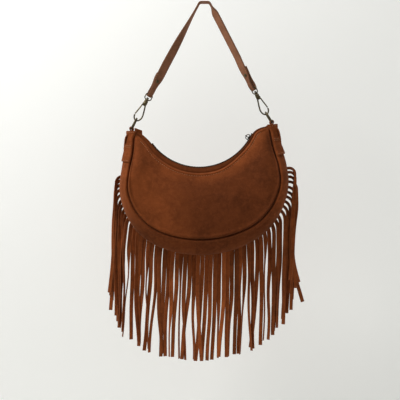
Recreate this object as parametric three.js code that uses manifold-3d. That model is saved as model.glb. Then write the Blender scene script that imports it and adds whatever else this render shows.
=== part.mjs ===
// Fringed suede shoulder bag, hanging by its strap.
// Millimetres, +Z up, +X to the right of the bag's front, +Y towards its back.
// The origin is the underside of the strap where it lies flat over its support.

import * as THREE from 'three';
import { mergeVertices } from 'three/addons/utils/BufferGeometryUtils.js';
import Module from 'manifold-3d';

const wasm = await Module();
wasm.setup();

// ---------------------------------------------------------------- driving dimensions

const seamGap = 0.3; // clearance kept where two pieces are sewn or laid together
const suede = 2.2; // thickness of the body panels
const degree = Math.PI / 180;

const strapThickness = 2.8;
const strapWidth = 15;
const strapEndWidth = 8.6; // where the strap folds round the swivel eye
const crownFlat = 11; // length of the flat stretch at the very top
const crownRadius = 5; // centre line radius of the two bends beside it
const legs = {
  left: { side: -1, lean: 28.4 * degree, length: 180.3, twist: 66 * degree, twistEnd: 1 },
  right: { side: 1, lean: 27.1 * degree, length: 165.3, twist: 40 * degree, twistEnd: 0.2 },
};
const foldLength = 40; // strap turned back past the swivel eye
const rivetSetback = 26; // from the swivel eye up to the strap rivet
const loopRadius = 4.2; // centre line radius of the open loop round the eye

const eyeBar = 0.95; // half height of the eye's top bar
const eye = { width: 14.4, height: 11.5, wall: 1.8, thickness: 2, corner: 3.4 };
const hookReach = 51.3; // from the eye's top bar to the wire centre at the hook's lowest point
const hookWire = 1.3; // radius
const hookHalfWidth = 6.9;
const gatePivot = { across: 2.4, down: 19 };

const ringWire = 1.4; // radius of the D-ring wire
const ringHalfWidth = 9.4;
const ringReach = 20.3; // from the straight bar to the top of the D
const ringLean = 29 * degree;
const ringBarPlace = { u: 122.6, w: -14.6 };
const tabWidth = 15;
const tabThickness = 2.2;

const zipArc = { u: -3, w: 14.5, radius: 102 }; // centre and radius of the zip's curve
const zipEnds = { left: -56 * degree, right: 62 * degree };
const zipCorner = { u: 114, w: -20 };
const sliderLength = 10.5;
const sliderClearance = 0.35; // between the slider and the teeth
const teethHalfGap = 0.7;
const teethWidth = 2;
const teethHeight = 2.4;
const facingWidth = 10; // visible height of the strip between zip and panel

const seamOutline = [
  [118, -28], [121.5, -60], [129, -96], [129.5, -128], [115, -163], [88, -190], [47, -207],
];
const seamLowest = -213;
const depthAtTabs = 18;
const depthAtBase = 60;
const frontShare = 0.69; // part of the depth in front of the hanging plane
const panelSwell = { front: 8, back: 5 };
const leanStart = -90; // below here the soft body hangs a little nearer to plumb
const leanRate = 0.03;
const bodySteps = 40; // shared by the pieces that meet along the seams and the zip

const stripPitch = 7;
const stripWidth = 6.5;
const stripThickness = 1.4;
const stripLength = { side: 224, base: 215 };
const stripDroop = 20; // length over which a strip turns from the seam towards plumb
const fringeTop = -94; // the fringe starts this far below the hook line
const layerStep = 1.9; // strips lie in three layers where they crowd together
const layers = 3;

// ---------------------------------------------------------------- materials

const suedeBrown = { color: 0x7a4526, roughness: 0.95, metalness: 0 };
const strapBrown = { color: 0x70462f, roughness: 0.9, metalness: 0 };
const darkBrass = { color: 0x4a4130, roughness: 0.42, metalness: 1 };
const zipTape = { color: 0x3a2718, roughness: 0.9, metalness: 0 };

// ---------------------------------------------------------------- helpers

const vector = (x, y, z) => new THREE.Vector3(x, y, z);
const mix = THREE.MathUtils.lerp;
const ease = (value, low, high) => THREE.MathUtils.smoothstep(value, low, high);

// Shared vertices merged, and the triangles that this leaves without an area dropped.
function onlyPositions(geometry) {
  const bare = geometry.clone();
  bare.deleteAttribute('normal');
  bare.deleteAttribute('uv');
  const merged = mergeVertices(bare, 1e-3);
  const corners = merged.index.array;
  const kept = [];
  for (let i = 0; i < corners.length; i += 3) {
    const [a, b, c] = corners.slice(i, i + 3);
    if (a !== b && b !== c && c !== a) {
      kept.push(a, b, c);
    }
  }
  merged.setIndex(kept);
  return merged;
}

function volumeOf(geometry) {
  const place = geometry.attributes.position;
  const corners = geometry.index.array;
  const [a, b, c] = [vector(), vector(), vector()];
  let total = 0;
  for (let i = 0; i < corners.length; i += 3) {
    a.fromBufferAttribute(place, corners[i]);
    b.fromBufferAttribute(place, corners[i + 1]);
    c.fromBufferAttribute(place, corners[i + 2]);
    total += a.dot(b.cross(c)) / 6;
  }
  return total;
}

// Moves every vertex of a closed geometry by a function, and keeps its faces pointing out.
function bend(geometry, place) {
  const bent = onlyPositions(geometry);
  const position = bent.attributes.position;
  for (let i = 0; i < position.count; i += 1) {
    const moved = place(position.getX(i), position.getY(i), position.getZ(i));
    position.setXYZ(i, moved.x, moved.y, moved.z);
  }
  if (volumeOf(bent) < 0) {
    const corners = bent.index.array;
    for (let i = 0; i < corners.length; i += 3) {
      [corners[i], corners[i + 1]] = [corners[i + 1], corners[i]];
    }
  }
  bent.computeVertexNormals();
  return bent;
}

// A sheet: along and across run from 0 to 1, through is -0.5 on one face and 0.5 on the other.
function sheet(alongSteps, acrossSteps, place) {
  const box = new THREE.BoxGeometry(1, 1, 1, alongSteps, acrossSteps, 1);
  return bend(box, (x, y, z) => place(x + 0.5, y + 0.5, z));
}

function toSolid(geometry) {
  const bare = onlyPositions(geometry);
  return new wasm.Manifold(new wasm.Mesh({
    numProp: 3,
    vertProperties: new Float32Array(bare.attributes.position.array),
    triVerts: new Uint32Array(bare.index.array),
  }));
}

function toGeometry(solid) {
  const mesh = solid.getMesh();
  const geometry = new THREE.BufferGeometry();
  geometry.setAttribute('position', new THREE.BufferAttribute(mesh.vertProperties, 3));
  geometry.setIndex(new THREE.BufferAttribute(mesh.triVerts, 1));
  geometry.computeVertexNormals();
  return geometry;
}

const join = (...geometries) => toGeometry(
  geometries.map(toSolid).reduce((whole, piece) => whole.add(piece)),
);

const cut = (geometry, ...tools) => toGeometry(
  tools.map(toSolid).reduce((whole, tool) => whole.subtract(tool), toSolid(geometry)),
);

// A round wire along a smooth curve through the points.
function wire(points, radius, steps, sides = 8) {
  const section = new THREE.Shape();
  section.absarc(0, 0, radius, 0, 2 * Math.PI, false);
  return new THREE.ExtrudeGeometry(section, {
    steps,
    curveSegments: sides / 2,
    extrudePath: new THREE.CatmullRomCurve3(points),
  });
}

// A straight rod whose axis runs along Y.
const rodAcross = (radius, length, sides = 16) => new THREE.CylinderGeometry(
  radius, radius, length, sides,
);

// A turned piece whose axis runs down -Z; the profile lists radius and distance down.
function turned(profile, sides = 16) {
  const points = profile.map(([radius, down]) => new THREE.Vector2(radius, down));
  return new THREE.LatheGeometry(points, sides).rotateX(-Math.PI / 2);
}

function piece(name, geometry, look) {
  const mesh = new THREE.Mesh(geometry, new THREE.MeshStandardMaterial(look));
  mesh.name = name;
  return mesh;
}

// ---------------------------------------------------------------- strap

// The strap's centre line and its width direction at a distance down one leg.
function legPoint(leg, down, out) {
  const crown = vector(
    leg.side * (crownFlat / 2 + crownRadius * Math.cos(leg.lean)),
    0,
    strapThickness / 2 - crownRadius + crownRadius * Math.sin(leg.lean),
  );
  const along = vector(leg.side * Math.sin(leg.lean), 0, -Math.cos(leg.lean));
  const outward = vector(leg.side * Math.cos(leg.lean), 0, Math.sin(leg.lean));
  const turn = leg.twist * ease(down, 4, leg.twistEnd * (leg.length - 60));
  const facing = outward.clone().multiplyScalar(Math.cos(turn)).add(vector(0, Math.sin(turn), 0));
  const width = vector(0, Math.cos(turn), 0).addScaledVector(outward, -Math.sin(turn));
  const centre = crown.addScaledVector(along, down).addScaledVector(facing, out);
  return { centre, width, facing, along };
}

// Stations down a leg, round the open loop at the eye and back up the fold.
function legStations(leg) {
  const layer = strapThickness / 2 + seamGap;
  const bottom = eyeBar + 3 * seamGap + strapThickness / 2;
  const eyeAt = leg.length;
  const outline = new THREE.SplineCurve([
    [eyeAt - 60, 0], [eyeAt - 50, -0.6 * layer], [eyeAt - 40, -layer], [eyeAt - 26, -layer],
    [eyeAt - 14, -0.8 * loopRadius], [eyeAt - 5, -loopRadius], [eyeAt + 1.6, -0.66 * loopRadius],
    [eyeAt + bottom, 0],
    [eyeAt + 1.6, 0.66 * loopRadius], [eyeAt - 5, loopRadius], [eyeAt - 14, 0.8 * loopRadius],
    [eyeAt - 26, layer], [eyeAt - foldLength, layer],
  ].map(([down, out]) => new THREE.Vector2(down, out)));
  const straightSteps = 12;
  const loopSteps = 36;
  const stations = [];
  for (let i = 0; i < straightSteps; i += 1) {
    stations.push([(i / straightSteps) * (leg.length - 60), 0]);
  }
  for (let i = 0; i <= loopSteps; i += 1) {
    const point = outline.getPoint(i / loopSteps);
    stations.push([point.x, point.y]);
  }
  return stations.map(([down, out]) => {
    const { centre, width } = legPoint(leg, down, out);
    const narrow = ease(down, leg.length - 34, leg.length - 12);
    return { centre, width: width.multiplyScalar(mix(strapWidth, strapEndWidth, narrow)) };
  });
}

function bendStations(leg) {
  const steps = 6;
  const stations = [];
  for (let i = 1; i < steps; i += 1) {
    const angle = (i / steps) * (Math.PI / 2 - leg.lean);
    stations.push({
      centre: vector(
        leg.side * (crownFlat / 2 + crownRadius * Math.sin(angle)),
        0,
        strapThickness / 2 - crownRadius + crownRadius * Math.cos(angle),
      ),
      width: vector(0, strapWidth, 0),
    });
  }
  return stations;
}

function strapGeometry() {
  const flatEnd = (side) => ({
    centre: vector(side * (crownFlat / 2), 0, strapThickness / 2),
    width: vector(0, strapWidth, 0),
  });
  const stations = [
    ...legStations(legs.left).reverse(),
    ...bendStations(legs.left).reverse(),
    flatEnd(-1),
    flatEnd(1),
    ...bendStations(legs.right),
    ...legStations(legs.right),
  ];
  const last = stations.length - 1;
  const directions = stations.map((station, i) => (
    stations[Math.min(i + 1, last)].centre.clone()
      .sub(stations[Math.max(i - 1, 0)].centre)
      .normalize()
  ));
  const flatIndex = stations.findIndex((station) => station.centre.x === -crownFlat / 2);
  directions[flatIndex].set(1, 0, 0);
  directions[flatIndex + 1].set(1, 0, 0);
  const strap = sheet(last, 1, (along, across, through) => {
    const index = Math.round(along * last);
    const { centre, width } = stations[index];
    const normal = width.clone().normalize().cross(directions[index]);
    return centre.clone()
      .addScaledVector(width, across - 0.5)
      .addScaledVector(normal, through * strapThickness);
  });
  return cut(strap, ...Object.values(legs).map((leg) => rivetAt(leg, rodAcross(1.5, 12))));
}

function rivetAt(leg, alongY) {
  const { centre, facing, along } = legPoint(leg, leg.length - rivetSetback, 0);
  const basis = new THREE.Matrix4().makeBasis(along.clone().cross(facing).negate(), facing, along);
  basis.setPosition(centre);
  return onlyPositions(alongY).applyMatrix4(basis);
}

function rivetGeometry(leg) {
  const face = strapThickness + 3 * seamGap;
  const capHeight = 1.1;
  const profile = [
    [0, -face - capHeight], [2.2, -face - capHeight], [3, -face], [1.2, -face],
    [1.2, face], [3, face], [2.2, face + capHeight], [0, face + capHeight],
  ].map(([radius, height]) => new THREE.Vector2(radius, height));
  return rivetAt(leg, new THREE.LatheGeometry(profile, 16));
}

// ---------------------------------------------------------------- swivel clips

// A rectangle about X = 0 whose corners are rounded.
function roundedOutline(width, top, bottom, radius) {
  const steps = 5;
  const points = [];
  [[1, top, 0], [-1, top, 1], [-1, bottom, 2], [1, bottom, 3]].forEach(([side, edge, quarter]) => {
    const centre = new THREE.Vector2(
      side * (width / 2 - radius),
      edge === top ? top - radius : bottom + radius,
    );
    for (let i = 0; i <= steps; i += 1) {
      const angle = (quarter + i / steps) * (Math.PI / 2);
      points.push(new THREE.Vector2(
        centre.x + radius * Math.cos(angle),
        centre.y + radius * Math.sin(angle),
      ));
    }
  });
  return points;
}

// A clip is built hanging straight down from the eye's top bar, with the gate towards +X,
// then turned in line with its strap leg.
function eyeGeometry() {
  const top = eyeBar;
  const bottom = top - eye.height;
  const inner = eye.corner - eye.wall;
  const plate = new THREE.Shape(roundedOutline(eye.width, top, bottom, eye.corner));
  plate.holes.push(new THREE.Path(
    roundedOutline(eye.width - 2 * eye.wall, top - eye.wall, bottom + eye.wall + 0.4, inner),
  ));
  const ring = new THREE.ExtrudeGeometry(plate, {
    depth: eye.thickness, bevelEnabled: false,
  });
  ring.translate(0, 0, -eye.thickness / 2).rotateX(Math.PI / 2);
  const collar = turned([[0, 9.2], [3.4, 9.2], [3.4, 12.4], [0, 12.4]]);
  const bore = turned([[0, 6], [1.6, 6], [1.6, 14], [0, 14]]);
  return cut(join(ring, collar), bore);
}

function hookGeometry() {
  const body = turned([
    [0, 6.3], [1.7, 6.3], [2.3, 7.1], [2.3, 7.8], [1.2, 7.8], [1.2, 12.8], [3.1, 12.8],
    [3.7, 13.6], [3.7, 20.6], [2.8, 22.2], [0, 22.2],
  ]);
  const arm = wire([
    [-1.7, 18], [-3.1, 24], [-5.3, 32], [-hookHalfWidth, 40], [-6.2, 46], [-3.5, 50.1],
    [0, hookReach], [3.5, 50.1], [6.1, 46.4], [hookHalfWidth, 42.6],
  ].map(([x, down]) => vector(x, 0, -down)), hookWire, 26);
  const slot = new THREE.BoxGeometry(6, 4, 8).translate(gatePivot.across - 2 + 3, 0, -20.2);
  const pinHole = rodAcross(0.95, 10).translate(gatePivot.across, 0, -gatePivot.down);
  return cut(join(body, arm), slot, pinHole);
}

function gateGeometry() {
  const barrel = rodAcross(1.8, 3.4).translate(gatePivot.across, 0, -gatePivot.down);
  const tongue = wire([
    vector(gatePivot.across + 0.2, 0, -gatePivot.down - 0.6),
    vector(4.2, 0, -27),
    vector(hookHalfWidth, 0, -41.6),
  ], 1.15, 10);
  const pinHole = rodAcross(0.95, 10).translate(gatePivot.across, 0, -gatePivot.down);
  return cut(join(barrel, tongue), pinHole);
}

const gatePinGeometry = () => rodAcross(0.65, 5.4, 12)
  .translate(gatePivot.across, 0, -gatePivot.down);

// The eye lies across the strap's width; the hook stands in the plane of the bag.
function clip(side) {
  const leg = legs[side];
  const { centre, facing, along } = legPoint(leg, leg.length, 0);
  const hanging = new THREE.Group();
  hanging.position.copy(centre);
  const outward = vector(leg.side * Math.cos(leg.lean), 0, Math.sin(leg.lean));
  const up = along.clone().negate();
  const hookPlane = up.clone().cross(outward);
  hanging.quaternion.setFromRotationMatrix(
    new THREE.Matrix4().makeBasis(outward, hookPlane, up),
  );
  const eyeMesh = piece(`swivel_eye_${side}`, eyeGeometry(), darkBrass);
  const turn = Math.atan2(facing.dot(hookPlane), facing.dot(outward));
  eyeMesh.rotation.z = turn + Math.PI / 2;
  hanging.add(eyeMesh);
  hanging.add(piece(`hook_${side}`, hookGeometry(), darkBrass));
  hanging.add(piece(`gate_${side}`, gateGeometry(), darkBrass));
  hanging.add(piece(`gate_pin_${side}`, gatePinGeometry(), darkBrass));
  return hanging;
}

// ---------------------------------------------------------------- bag body outline

// The bag's own frame: u to the right and w up, from the middle of the line between the
// two hooks. Below the zip the body leans back towards plumb.
const hang = (u, y, w) => vector(u - leanRate * Math.max(0, leanStart - w), y, w);

const seam = new THREE.SplineCurve([
  ...seamOutline.map(([u, w]) => new THREE.Vector2(-u, w)),
  new THREE.Vector2(0, seamLowest),
  ...seamOutline.map(([u, w]) => new THREE.Vector2(u, w)).reverse(),
]);

function seamAt(along) {
  const point = seam.getPointAt(along);
  const tangent = seam.getTangentAt(along);
  return { point, outward: new THREE.Vector2(tangent.y, -tangent.x) };
}

// The ridge follows the zip's arc, runs straight on for a little, then turns to each corner.
const easeOut = 10;
const cornerLead = 9;

function arcPoint(angle, extra = 0) {
  return new THREE.Vector2(
    zipArc.u + zipArc.radius * Math.sin(angle) + extra * Math.cos(angle),
    zipArc.w - zipArc.radius * Math.cos(angle) + extra * Math.sin(angle),
  );
}

const ridge = new THREE.Path();
const leftEnd = arcPoint(zipEnds.left);
const leftRun = arcPoint(zipEnds.left, -easeOut);
const rightEnd = arcPoint(zipEnds.right);
const rightRun = arcPoint(zipEnds.right, easeOut);
ridge.moveTo(-zipCorner.u, zipCorner.w);
ridge.bezierCurveTo(
  cornerLead - zipCorner.u, zipCorner.w - 1.5, leftRun.x, leftRun.y, leftEnd.x, leftEnd.y,
);
ridge.absarc(
  zipArc.u, zipArc.w, zipArc.radius,
  zipEnds.left - Math.PI / 2, zipEnds.right - Math.PI / 2, false,
);
ridge.bezierCurveTo(
  rightRun.x, rightRun.y, zipCorner.u - cornerLead, zipCorner.w - 1.5, zipCorner.u, zipCorner.w,
);

// A point by the zip: across is Y, and rise is the height over the zip's own line.
function ridgePoint(along, across, rise) {
  const point = ridge.getPoint(along);
  const tangent = ridge.getTangent(along);
  return hang(point.x - tangent.y * rise, across, point.y + tangent.x * rise);
}

const depthAt = (w) => mix(depthAtTabs, depthAtBase, ease(-w, 20, 125));
const frontDepth = (w) => mix(0.5, frontShare, ease(-w, 30, 110)) * depthAt(w);
const backDepth = (w) => depthAt(w) - frontDepth(w);

function gussetSwell(w) {
  const low = THREE.MathUtils.clamp((-w - 90) / 123, 0, 1);
  return 12 + 4 * ease(-w, 20, 75) + 12 * low * low;
}

const facingDrop = (along) => facingWidth * mix(0.45, 1, Math.sin(Math.PI * along) ** 0.5);
const facingSpread = (along) => mix(8, 10.5, Math.sin(Math.PI * along) ** 0.5);

// ---------------------------------------------------------------- suede body

function panelGeometry(side) {
  const depth = side < 0 ? frontDepth : backDepth;
  const swell = side < 0 ? panelSwell.front : panelSwell.back;
  return sheet(bodySteps, 6, (along, down, through) => {
    const top = ridgePoint(along, 0, -facingDrop(along) - seamGap);
    const { point, outward } = seamAt(along);
    const low = hang(point.x - outward.x * seamGap, 0, point.y - outward.y * seamGap);
    const crown = Math.sin(Math.PI * down) * Math.sin(Math.PI * along) ** 0.7;
    const reach = mix(facingSpread(along), depth(point.y), down) + swell * crown;
    const inward = (through + 0.5) * suede;
    return vector(mix(top.x, low.x, down), side * (reach - inward), mix(top.z, low.z, down));
  });
}

function gussetGeometry() {
  return sheet(bodySteps, 6, (along, round, through) => {
    const { point, outward } = seamAt(along);
    const inward = (through + 0.5) * suede;
    const front = frontDepth(point.y);
    const back = backDepth(point.y);
    const half = (front + back) / 2 - inward;
    const swell = gussetSwell(point.y) - inward;
    const out = swell * Math.sin(Math.PI * round);
    const across = (back - front) / 2 - half * Math.cos(Math.PI * round);
    return hang(point.x + outward.x * out, across, point.y + outward.y * out);
  });
}

function facingGeometry(side) {
  const thickness = 1.8;
  return sheet(bodySteps, 1, (along, down, through) => {
    const start = { across: 5.6, rise: 0.4 };
    const end = { across: facingSpread(along), rise: 2 * seamGap - facingDrop(along) };
    const slope = new THREE.Vector2(end.across - start.across, end.rise - start.rise).normalize();
    const lift = -through * thickness;
    const across = mix(start.across, end.across, down) - slope.y * lift;
    const rise = mix(start.rise, end.rise, down) + slope.x * lift;
    return ridgePoint(along, side * across, rise);
  });
}

// ---------------------------------------------------------------- zip

// A point on the zip's own arc; angle 0 is its lowest point.
function zipPoint(angle, across, rise) {
  const radius = zipArc.radius - rise;
  return vector(
    zipArc.u + radius * Math.sin(angle),
    across,
    zipArc.w - radius * Math.cos(angle),
  );
}

const teethFrom = zipEnds.left + degree;
const teethTo = zipEnds.right - degree;

function teethGeometry(side) {
  return sheet(28, 1, (along, across, through) => zipPoint(
    mix(teethFrom, teethTo, along),
    side * (teethHalfGap + across * teethWidth),
    through * teethHeight,
  ));
}

function tapeGeometry(side) {
  const thickness = 0.7;
  const start = { across: teethHalfGap + teethWidth + 2 * seamGap, rise: -0.3 };
  const end = { across: 6.2, rise: -7 };
  const slope = new THREE.Vector2(end.across - start.across, end.rise - start.rise).normalize();
  return sheet(28, 1, (along, down, through) => zipPoint(
    mix(teethFrom, teethTo, along),
    side * (mix(start.across, end.across, down) + slope.y * through * thickness),
    mix(start.rise, end.rise, down) - slope.x * through * thickness,
  ));
}

function stopGeometry(side) {
  const half = teethHalfGap + teethWidth;
  return sheet(1, 1, (along, across, through) => zipPoint(
    (side < 0 ? teethFrom : teethTo) + side * mix(0.2, 1.5, along) * degree,
    mix(-half, half, across),
    through * (teethHeight + 0.6),
  ));
}

// The slider is built lying along X at the zip's line, then set on the arc. Its two plates
// are joined by a web that runs between the rows of teeth, and a wire bridge stands on it.
const sliderLevel = teethHeight / 2 + sliderClearance;
const bridgeTop = sliderLevel + 5.3;

function sliderGeometry() {
  const plate = 1.3;
  const offset = sliderLevel + 0.2 + plate / 2;
  const upper = new THREE.BoxGeometry(sliderLength, 6.4, plate).translate(0, 0, offset);
  const lower = new THREE.BoxGeometry(sliderLength - 1.5, 4.6, plate).translate(0, 0, -offset);
  const web = new THREE.BoxGeometry(5, 0.8, 2 * offset);
  const bridge = wire([
    [-4.6, sliderLevel + 0.6], [-4.2, sliderLevel + 3.4], [-1.8, bridgeTop],
    [1.8, bridgeTop], [4.2, sliderLevel + 3.4], [4.6, sliderLevel + 0.6],
  ].map(([x, z]) => vector(x, 0, z)), 0.7, 14);
  return join(upper, lower, web, bridge);
}

// A turned bar with an eye round the bridge, hanging down the back.
function pullGeometry() {
  const hole = new THREE.TorusGeometry(1.9, 0.6, 8, 16).rotateY(Math.PI / 2);
  const bar = turned([
    [0, 2], [0.65, 2], [0.65, 6.5], [1, 8.5], [1.7, 15], [1.7, 18.4], [1.1, 19.4], [0, 19.6],
  ], 12);
  return join(hole, bar);
}

function sliderGroup() {
  const margin = (sliderLength / 2 + 1) / zipArc.radius;
  const angle = teethTo - margin;
  const group = new THREE.Group();
  group.position.copy(zipPoint(angle, 0, 0));
  group.rotation.y = -angle;
  group.add(piece('zip_slider', sliderGeometry(), darkBrass));
  const pull = piece('zip_pull', pullGeometry(), darkBrass);
  pull.position.z = bridgeTop;
  pull.rotation.x = 55 * degree;
  group.add(pull);
  return group;
}

// The zip's tail end is capped by a short folded piece of suede.
function zipEndTabGeometry() {
  const thickness = 1.6;
  const layer = 1.7;
  const path = new THREE.Path();
  path.moveTo(-104.5, -layer);
  path.lineTo(-115, -layer);
  path.absarc(-115, 0, layer, -Math.PI / 2, -3 * Math.PI / 2, true);
  path.lineTo(-104.5, layer);
  const height = 7;
  return sheet(20, 1, (along, up, through) => {
    const point = path.getPoint(along);
    const tangent = path.getTangent(along);
    const u = point.x - tangent.y * through * thickness;
    const y = point.y + tangent.x * through * thickness;
    return hang(u, y, -17.4 - 0.42 * (u + 115) + (up - 0.5) * height);
  });
}

// ---------------------------------------------------------------- D-rings and their tabs

// One wire, bent to a D, with its two ends meeting at the middle of the straight bar.
function ringGeometry() {
  const corner = 1.6;
  const straight = ringReach - ringHalfWidth;
  const outline = new THREE.Path();
  outline.moveTo(0.2, 0);
  outline.lineTo(ringHalfWidth - corner, 0);
  outline.absarc(ringHalfWidth - corner, corner, corner, -Math.PI / 2, 0, false);
  outline.lineTo(ringHalfWidth, straight);
  outline.absarc(0, straight, ringHalfWidth, 0, Math.PI, false);
  outline.lineTo(-ringHalfWidth, corner);
  outline.absarc(-ringHalfWidth + corner, corner, corner, Math.PI, 1.5 * Math.PI, false);
  outline.lineTo(-0.2, 0);
  const points = outline.getSpacedPoints(48).map((point) => vector(0, point.x, point.y));
  return wire(points, ringWire, 26);
}

function ringGroup(side, name) {
  const group = new THREE.Group();
  group.position.copy(hang(side * ringBarPlace.u, 0, ringBarPlace.w));
  group.rotation.y = -side * ringLean;
  group.add(piece(`d_ring_${name}`, ringGeometry(), darkBrass));
  return group;
}

// A suede strip folded round the ring's bar and sewn down the outside of the gusset.
function tabGeometry(side) {
  const { u, w } = ringBarPlace;
  const wrap = ringWire + seamGap + tabThickness / 2;
  const path = new THREE.Path();
  path.moveTo(u - wrap, w - 8.6);
  path.lineTo(u - wrap, w);
  path.absarc(u, w, wrap, Math.PI, 0.1 * Math.PI, true);
  path.bezierCurveTo(u + wrap + 0.4, w - 4, 131.6, -23, 133.2, -29);
  path.lineTo(136.4, -46);
  return sheet(26, 1, (along, across, through) => {
    const point = path.getPoint(along);
    const tangent = path.getTangent(along);
    return hang(
      side * (point.x - tangent.y * through * tabThickness),
      (across - 0.5) * tabWidth,
      point.y + tangent.x * through * tabThickness,
    );
  });
}

// ---------------------------------------------------------------- fringe

// One piece of suede sewn in the seam behind the gusset, cut into strips that hang plumb.
function fringeGeometry(plumb) {
  const samples = 400;
  const inRange = [];
  for (let i = 0; i <= samples; i += 1) {
    if (seamAt(i / samples).point.y < fringeTop) {
      inRange.push(i / samples);
    }
  }
  const [from, to] = [inRange[0], inRange[inRange.length - 1]];
  const count = Math.floor(((to - from) * seam.getLength()) / stripPitch) + 1;
  const behind = (w) => backDepth(w) + seamGap + 0.2 + stripThickness / 2;
  const band = sheet(56, 1, (along, out, through) => {
    const { point, outward } = seamAt(mix(from, to, along));
    const reach = mix(-1, 4, out);
    return hang(
      point.x + outward.x * reach,
      behind(point.y) + through * stripThickness,
      point.y + outward.y * reach,
    );
  });
  const strips = [];
  for (let i = 0; i < count; i += 1) {
    const along = mix(from, to, (i + 0.5) / count);
    const { point, outward } = seamAt(along);
    const start = Math.atan2(outward.x, -outward.y) - plumb;
    const sideways = Math.abs(start) / (Math.PI / 2);
    const length = mix(stripLength.base, stripLength.side, ease(sideways, 0, 1));
    const lift = layerStep * (i % layers);
    strips.push(stripGeometry(point, start, plumb, length, behind(point.y), lift));
  }
  return join(band, ...strips);
}

function stripGeometry(root, start, plumb, length, behind, lift) {
  const steps = 7;
  const fine = 18;
  const stations = [];
  const place = new THREE.Vector2(root.x, root.y);
  const total = steps * fine;
  for (let i = 0; i <= total; i += 1) {
    const run = length * (i / total) ** 1.8;
    const angle = start * Math.exp(-run / stripDroop) + plumb;
    if (i % fine === 0) {
      stations.push({ at: place.clone(), angle, run });
    }
    const step = length * ((i + 1) / total) ** 1.8 - run;
    place.x += Math.sin(angle) * step;
    place.y -= Math.cos(angle) * step;
  }
  return sheet(steps, 1, (along, across, through) => {
    const { at, angle, run } = stations[Math.round(along * steps)];
    const side = (across - 0.5) * stripWidth;
    const y = behind + through * stripThickness + lift * ease(run, 3, 14);
    return hang(at.x + Math.cos(angle) * side, y, at.y + Math.sin(angle) * side);
  });
}

// ---------------------------------------------------------------- assembly

function hookPoint(leg) {
  const { centre, along } = legPoint(leg, leg.length, 0);
  return centre.addScaledVector(along, hookReach);
}

const object = new THREE.Group();
object.name = 'fringed_suede_bag';

object.add(piece('strap', strapGeometry(), strapBrown));
for (const [side, leg] of Object.entries(legs)) {
  object.add(piece(`strap_rivet_${side}`, rivetGeometry(leg), darkBrass));
  object.add(clip(side));
}

const leftHook = hookPoint(legs.left);
const rightHook = hookPoint(legs.right);
const bagTilt = Math.atan2(rightHook.z - leftHook.z, rightHook.x - leftHook.x);

const bag = new THREE.Group();
bag.position.copy(leftHook).lerp(rightHook, 0.5);
bag.rotation.y = -bagTilt;
object.add(bag);

bag.add(piece('front_panel', panelGeometry(-1), suedeBrown));
bag.add(piece('back_panel', panelGeometry(1), suedeBrown));
bag.add(piece('gusset', gussetGeometry(), suedeBrown));
bag.add(piece('fringe', fringeGeometry(-bagTilt), suedeBrown));
for (const [name, side] of [['front', -1], ['back', 1]]) {
  bag.add(piece(`zip_facing_${name}`, facingGeometry(side), suedeBrown));
  bag.add(piece(`zip_tape_${name}`, tapeGeometry(side), zipTape));
  bag.add(piece(`zip_teeth_${name}`, teethGeometry(side), darkBrass));
}
for (const [name, side] of [['left', -1], ['right', 1]]) {
  bag.add(piece(`ring_tab_${name}`, tabGeometry(side), suedeBrown));
  bag.add(ringGroup(side, name));
  bag.add(piece(`zip_stop_${name}`, stopGeometry(side), darkBrass));
}
bag.add(piece('zip_end_tab', zipEndTabGeometry(), suedeBrown));
bag.add(sliderGroup());

export default object;
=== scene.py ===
# Looks of the fringed suede bag: suede body and fringe, folded strap and antique brass fittings.
# Shapes are worked out in millimetres in the bag's row frame and written to the meshes in metres.

import math
import random
from bisect import bisect_right

import bmesh
import bpy
from mathutils import Matrix, Vector, noise


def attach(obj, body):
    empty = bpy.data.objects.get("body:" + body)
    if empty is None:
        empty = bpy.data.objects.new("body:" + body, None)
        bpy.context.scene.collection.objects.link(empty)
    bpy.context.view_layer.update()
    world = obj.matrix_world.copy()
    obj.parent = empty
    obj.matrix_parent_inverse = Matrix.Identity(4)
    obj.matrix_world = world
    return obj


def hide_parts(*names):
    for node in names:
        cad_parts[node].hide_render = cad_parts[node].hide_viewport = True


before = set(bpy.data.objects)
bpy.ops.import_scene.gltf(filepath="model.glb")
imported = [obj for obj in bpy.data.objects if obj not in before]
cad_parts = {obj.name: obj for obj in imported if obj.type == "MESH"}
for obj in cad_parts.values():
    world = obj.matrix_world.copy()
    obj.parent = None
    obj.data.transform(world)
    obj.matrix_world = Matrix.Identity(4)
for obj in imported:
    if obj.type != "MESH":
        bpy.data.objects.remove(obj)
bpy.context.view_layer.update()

bl_info = {
    "name": "Fringed suede bag",
    "version": (1, 0, 0),
    "blender": (4, 5, 0),
    "location": "View3D > Sidebar > Suede bag",
    "description": "Dresses the bag's frame in suede, fringe, strap and brass fittings",
    "category": "Object",
}

MM = 0.001
DEGREE = math.pi / 180

# ---------------------------------------------------------------- sizes shared with the frame

SEAM_GAP = 0.3
STRAP_THICKNESS = 2.8
STRAP_WIDTH = 15
STRAP_END_WIDTH = 8.6
CROWN_FLAT = 11
CROWN_RADIUS = 5
FOLD_LENGTH = 40
RIVET_SETBACK = 26
LOOP_RADIUS = 4.2
LEGS = {
    "left": dict(side=-1, lean=28.4 * DEGREE, length=180.3, twist=66 * DEGREE, twist_end=1.0),
    "right": dict(side=1, lean=27.1 * DEGREE, length=165.3, twist=40 * DEGREE, twist_end=0.2),
}
EYE_BAR = 0.95
EYE_WIDTH = 14.4
EYE_HEIGHT = 11.5
HOOK_REACH = 51.3
HOOK_WIRE = 1.3
GATE_ACROSS = 2.4
GATE_DOWN = 19
RING_WIRE = 1.4
RING_HALF_WIDTH = 9.4
RING_REACH = 20.3
RING_LEAN = 29 * DEGREE
RING_BAR = (122.6, -14.6)
TAB_WIDTH = 15
TAB_THICKNESS = 2.2
ZIP_CENTRE = (-3, 14.5)
ZIP_RADIUS = 102
ZIP_LEFT = -56 * DEGREE
ZIP_RIGHT = 62 * DEGREE
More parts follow.
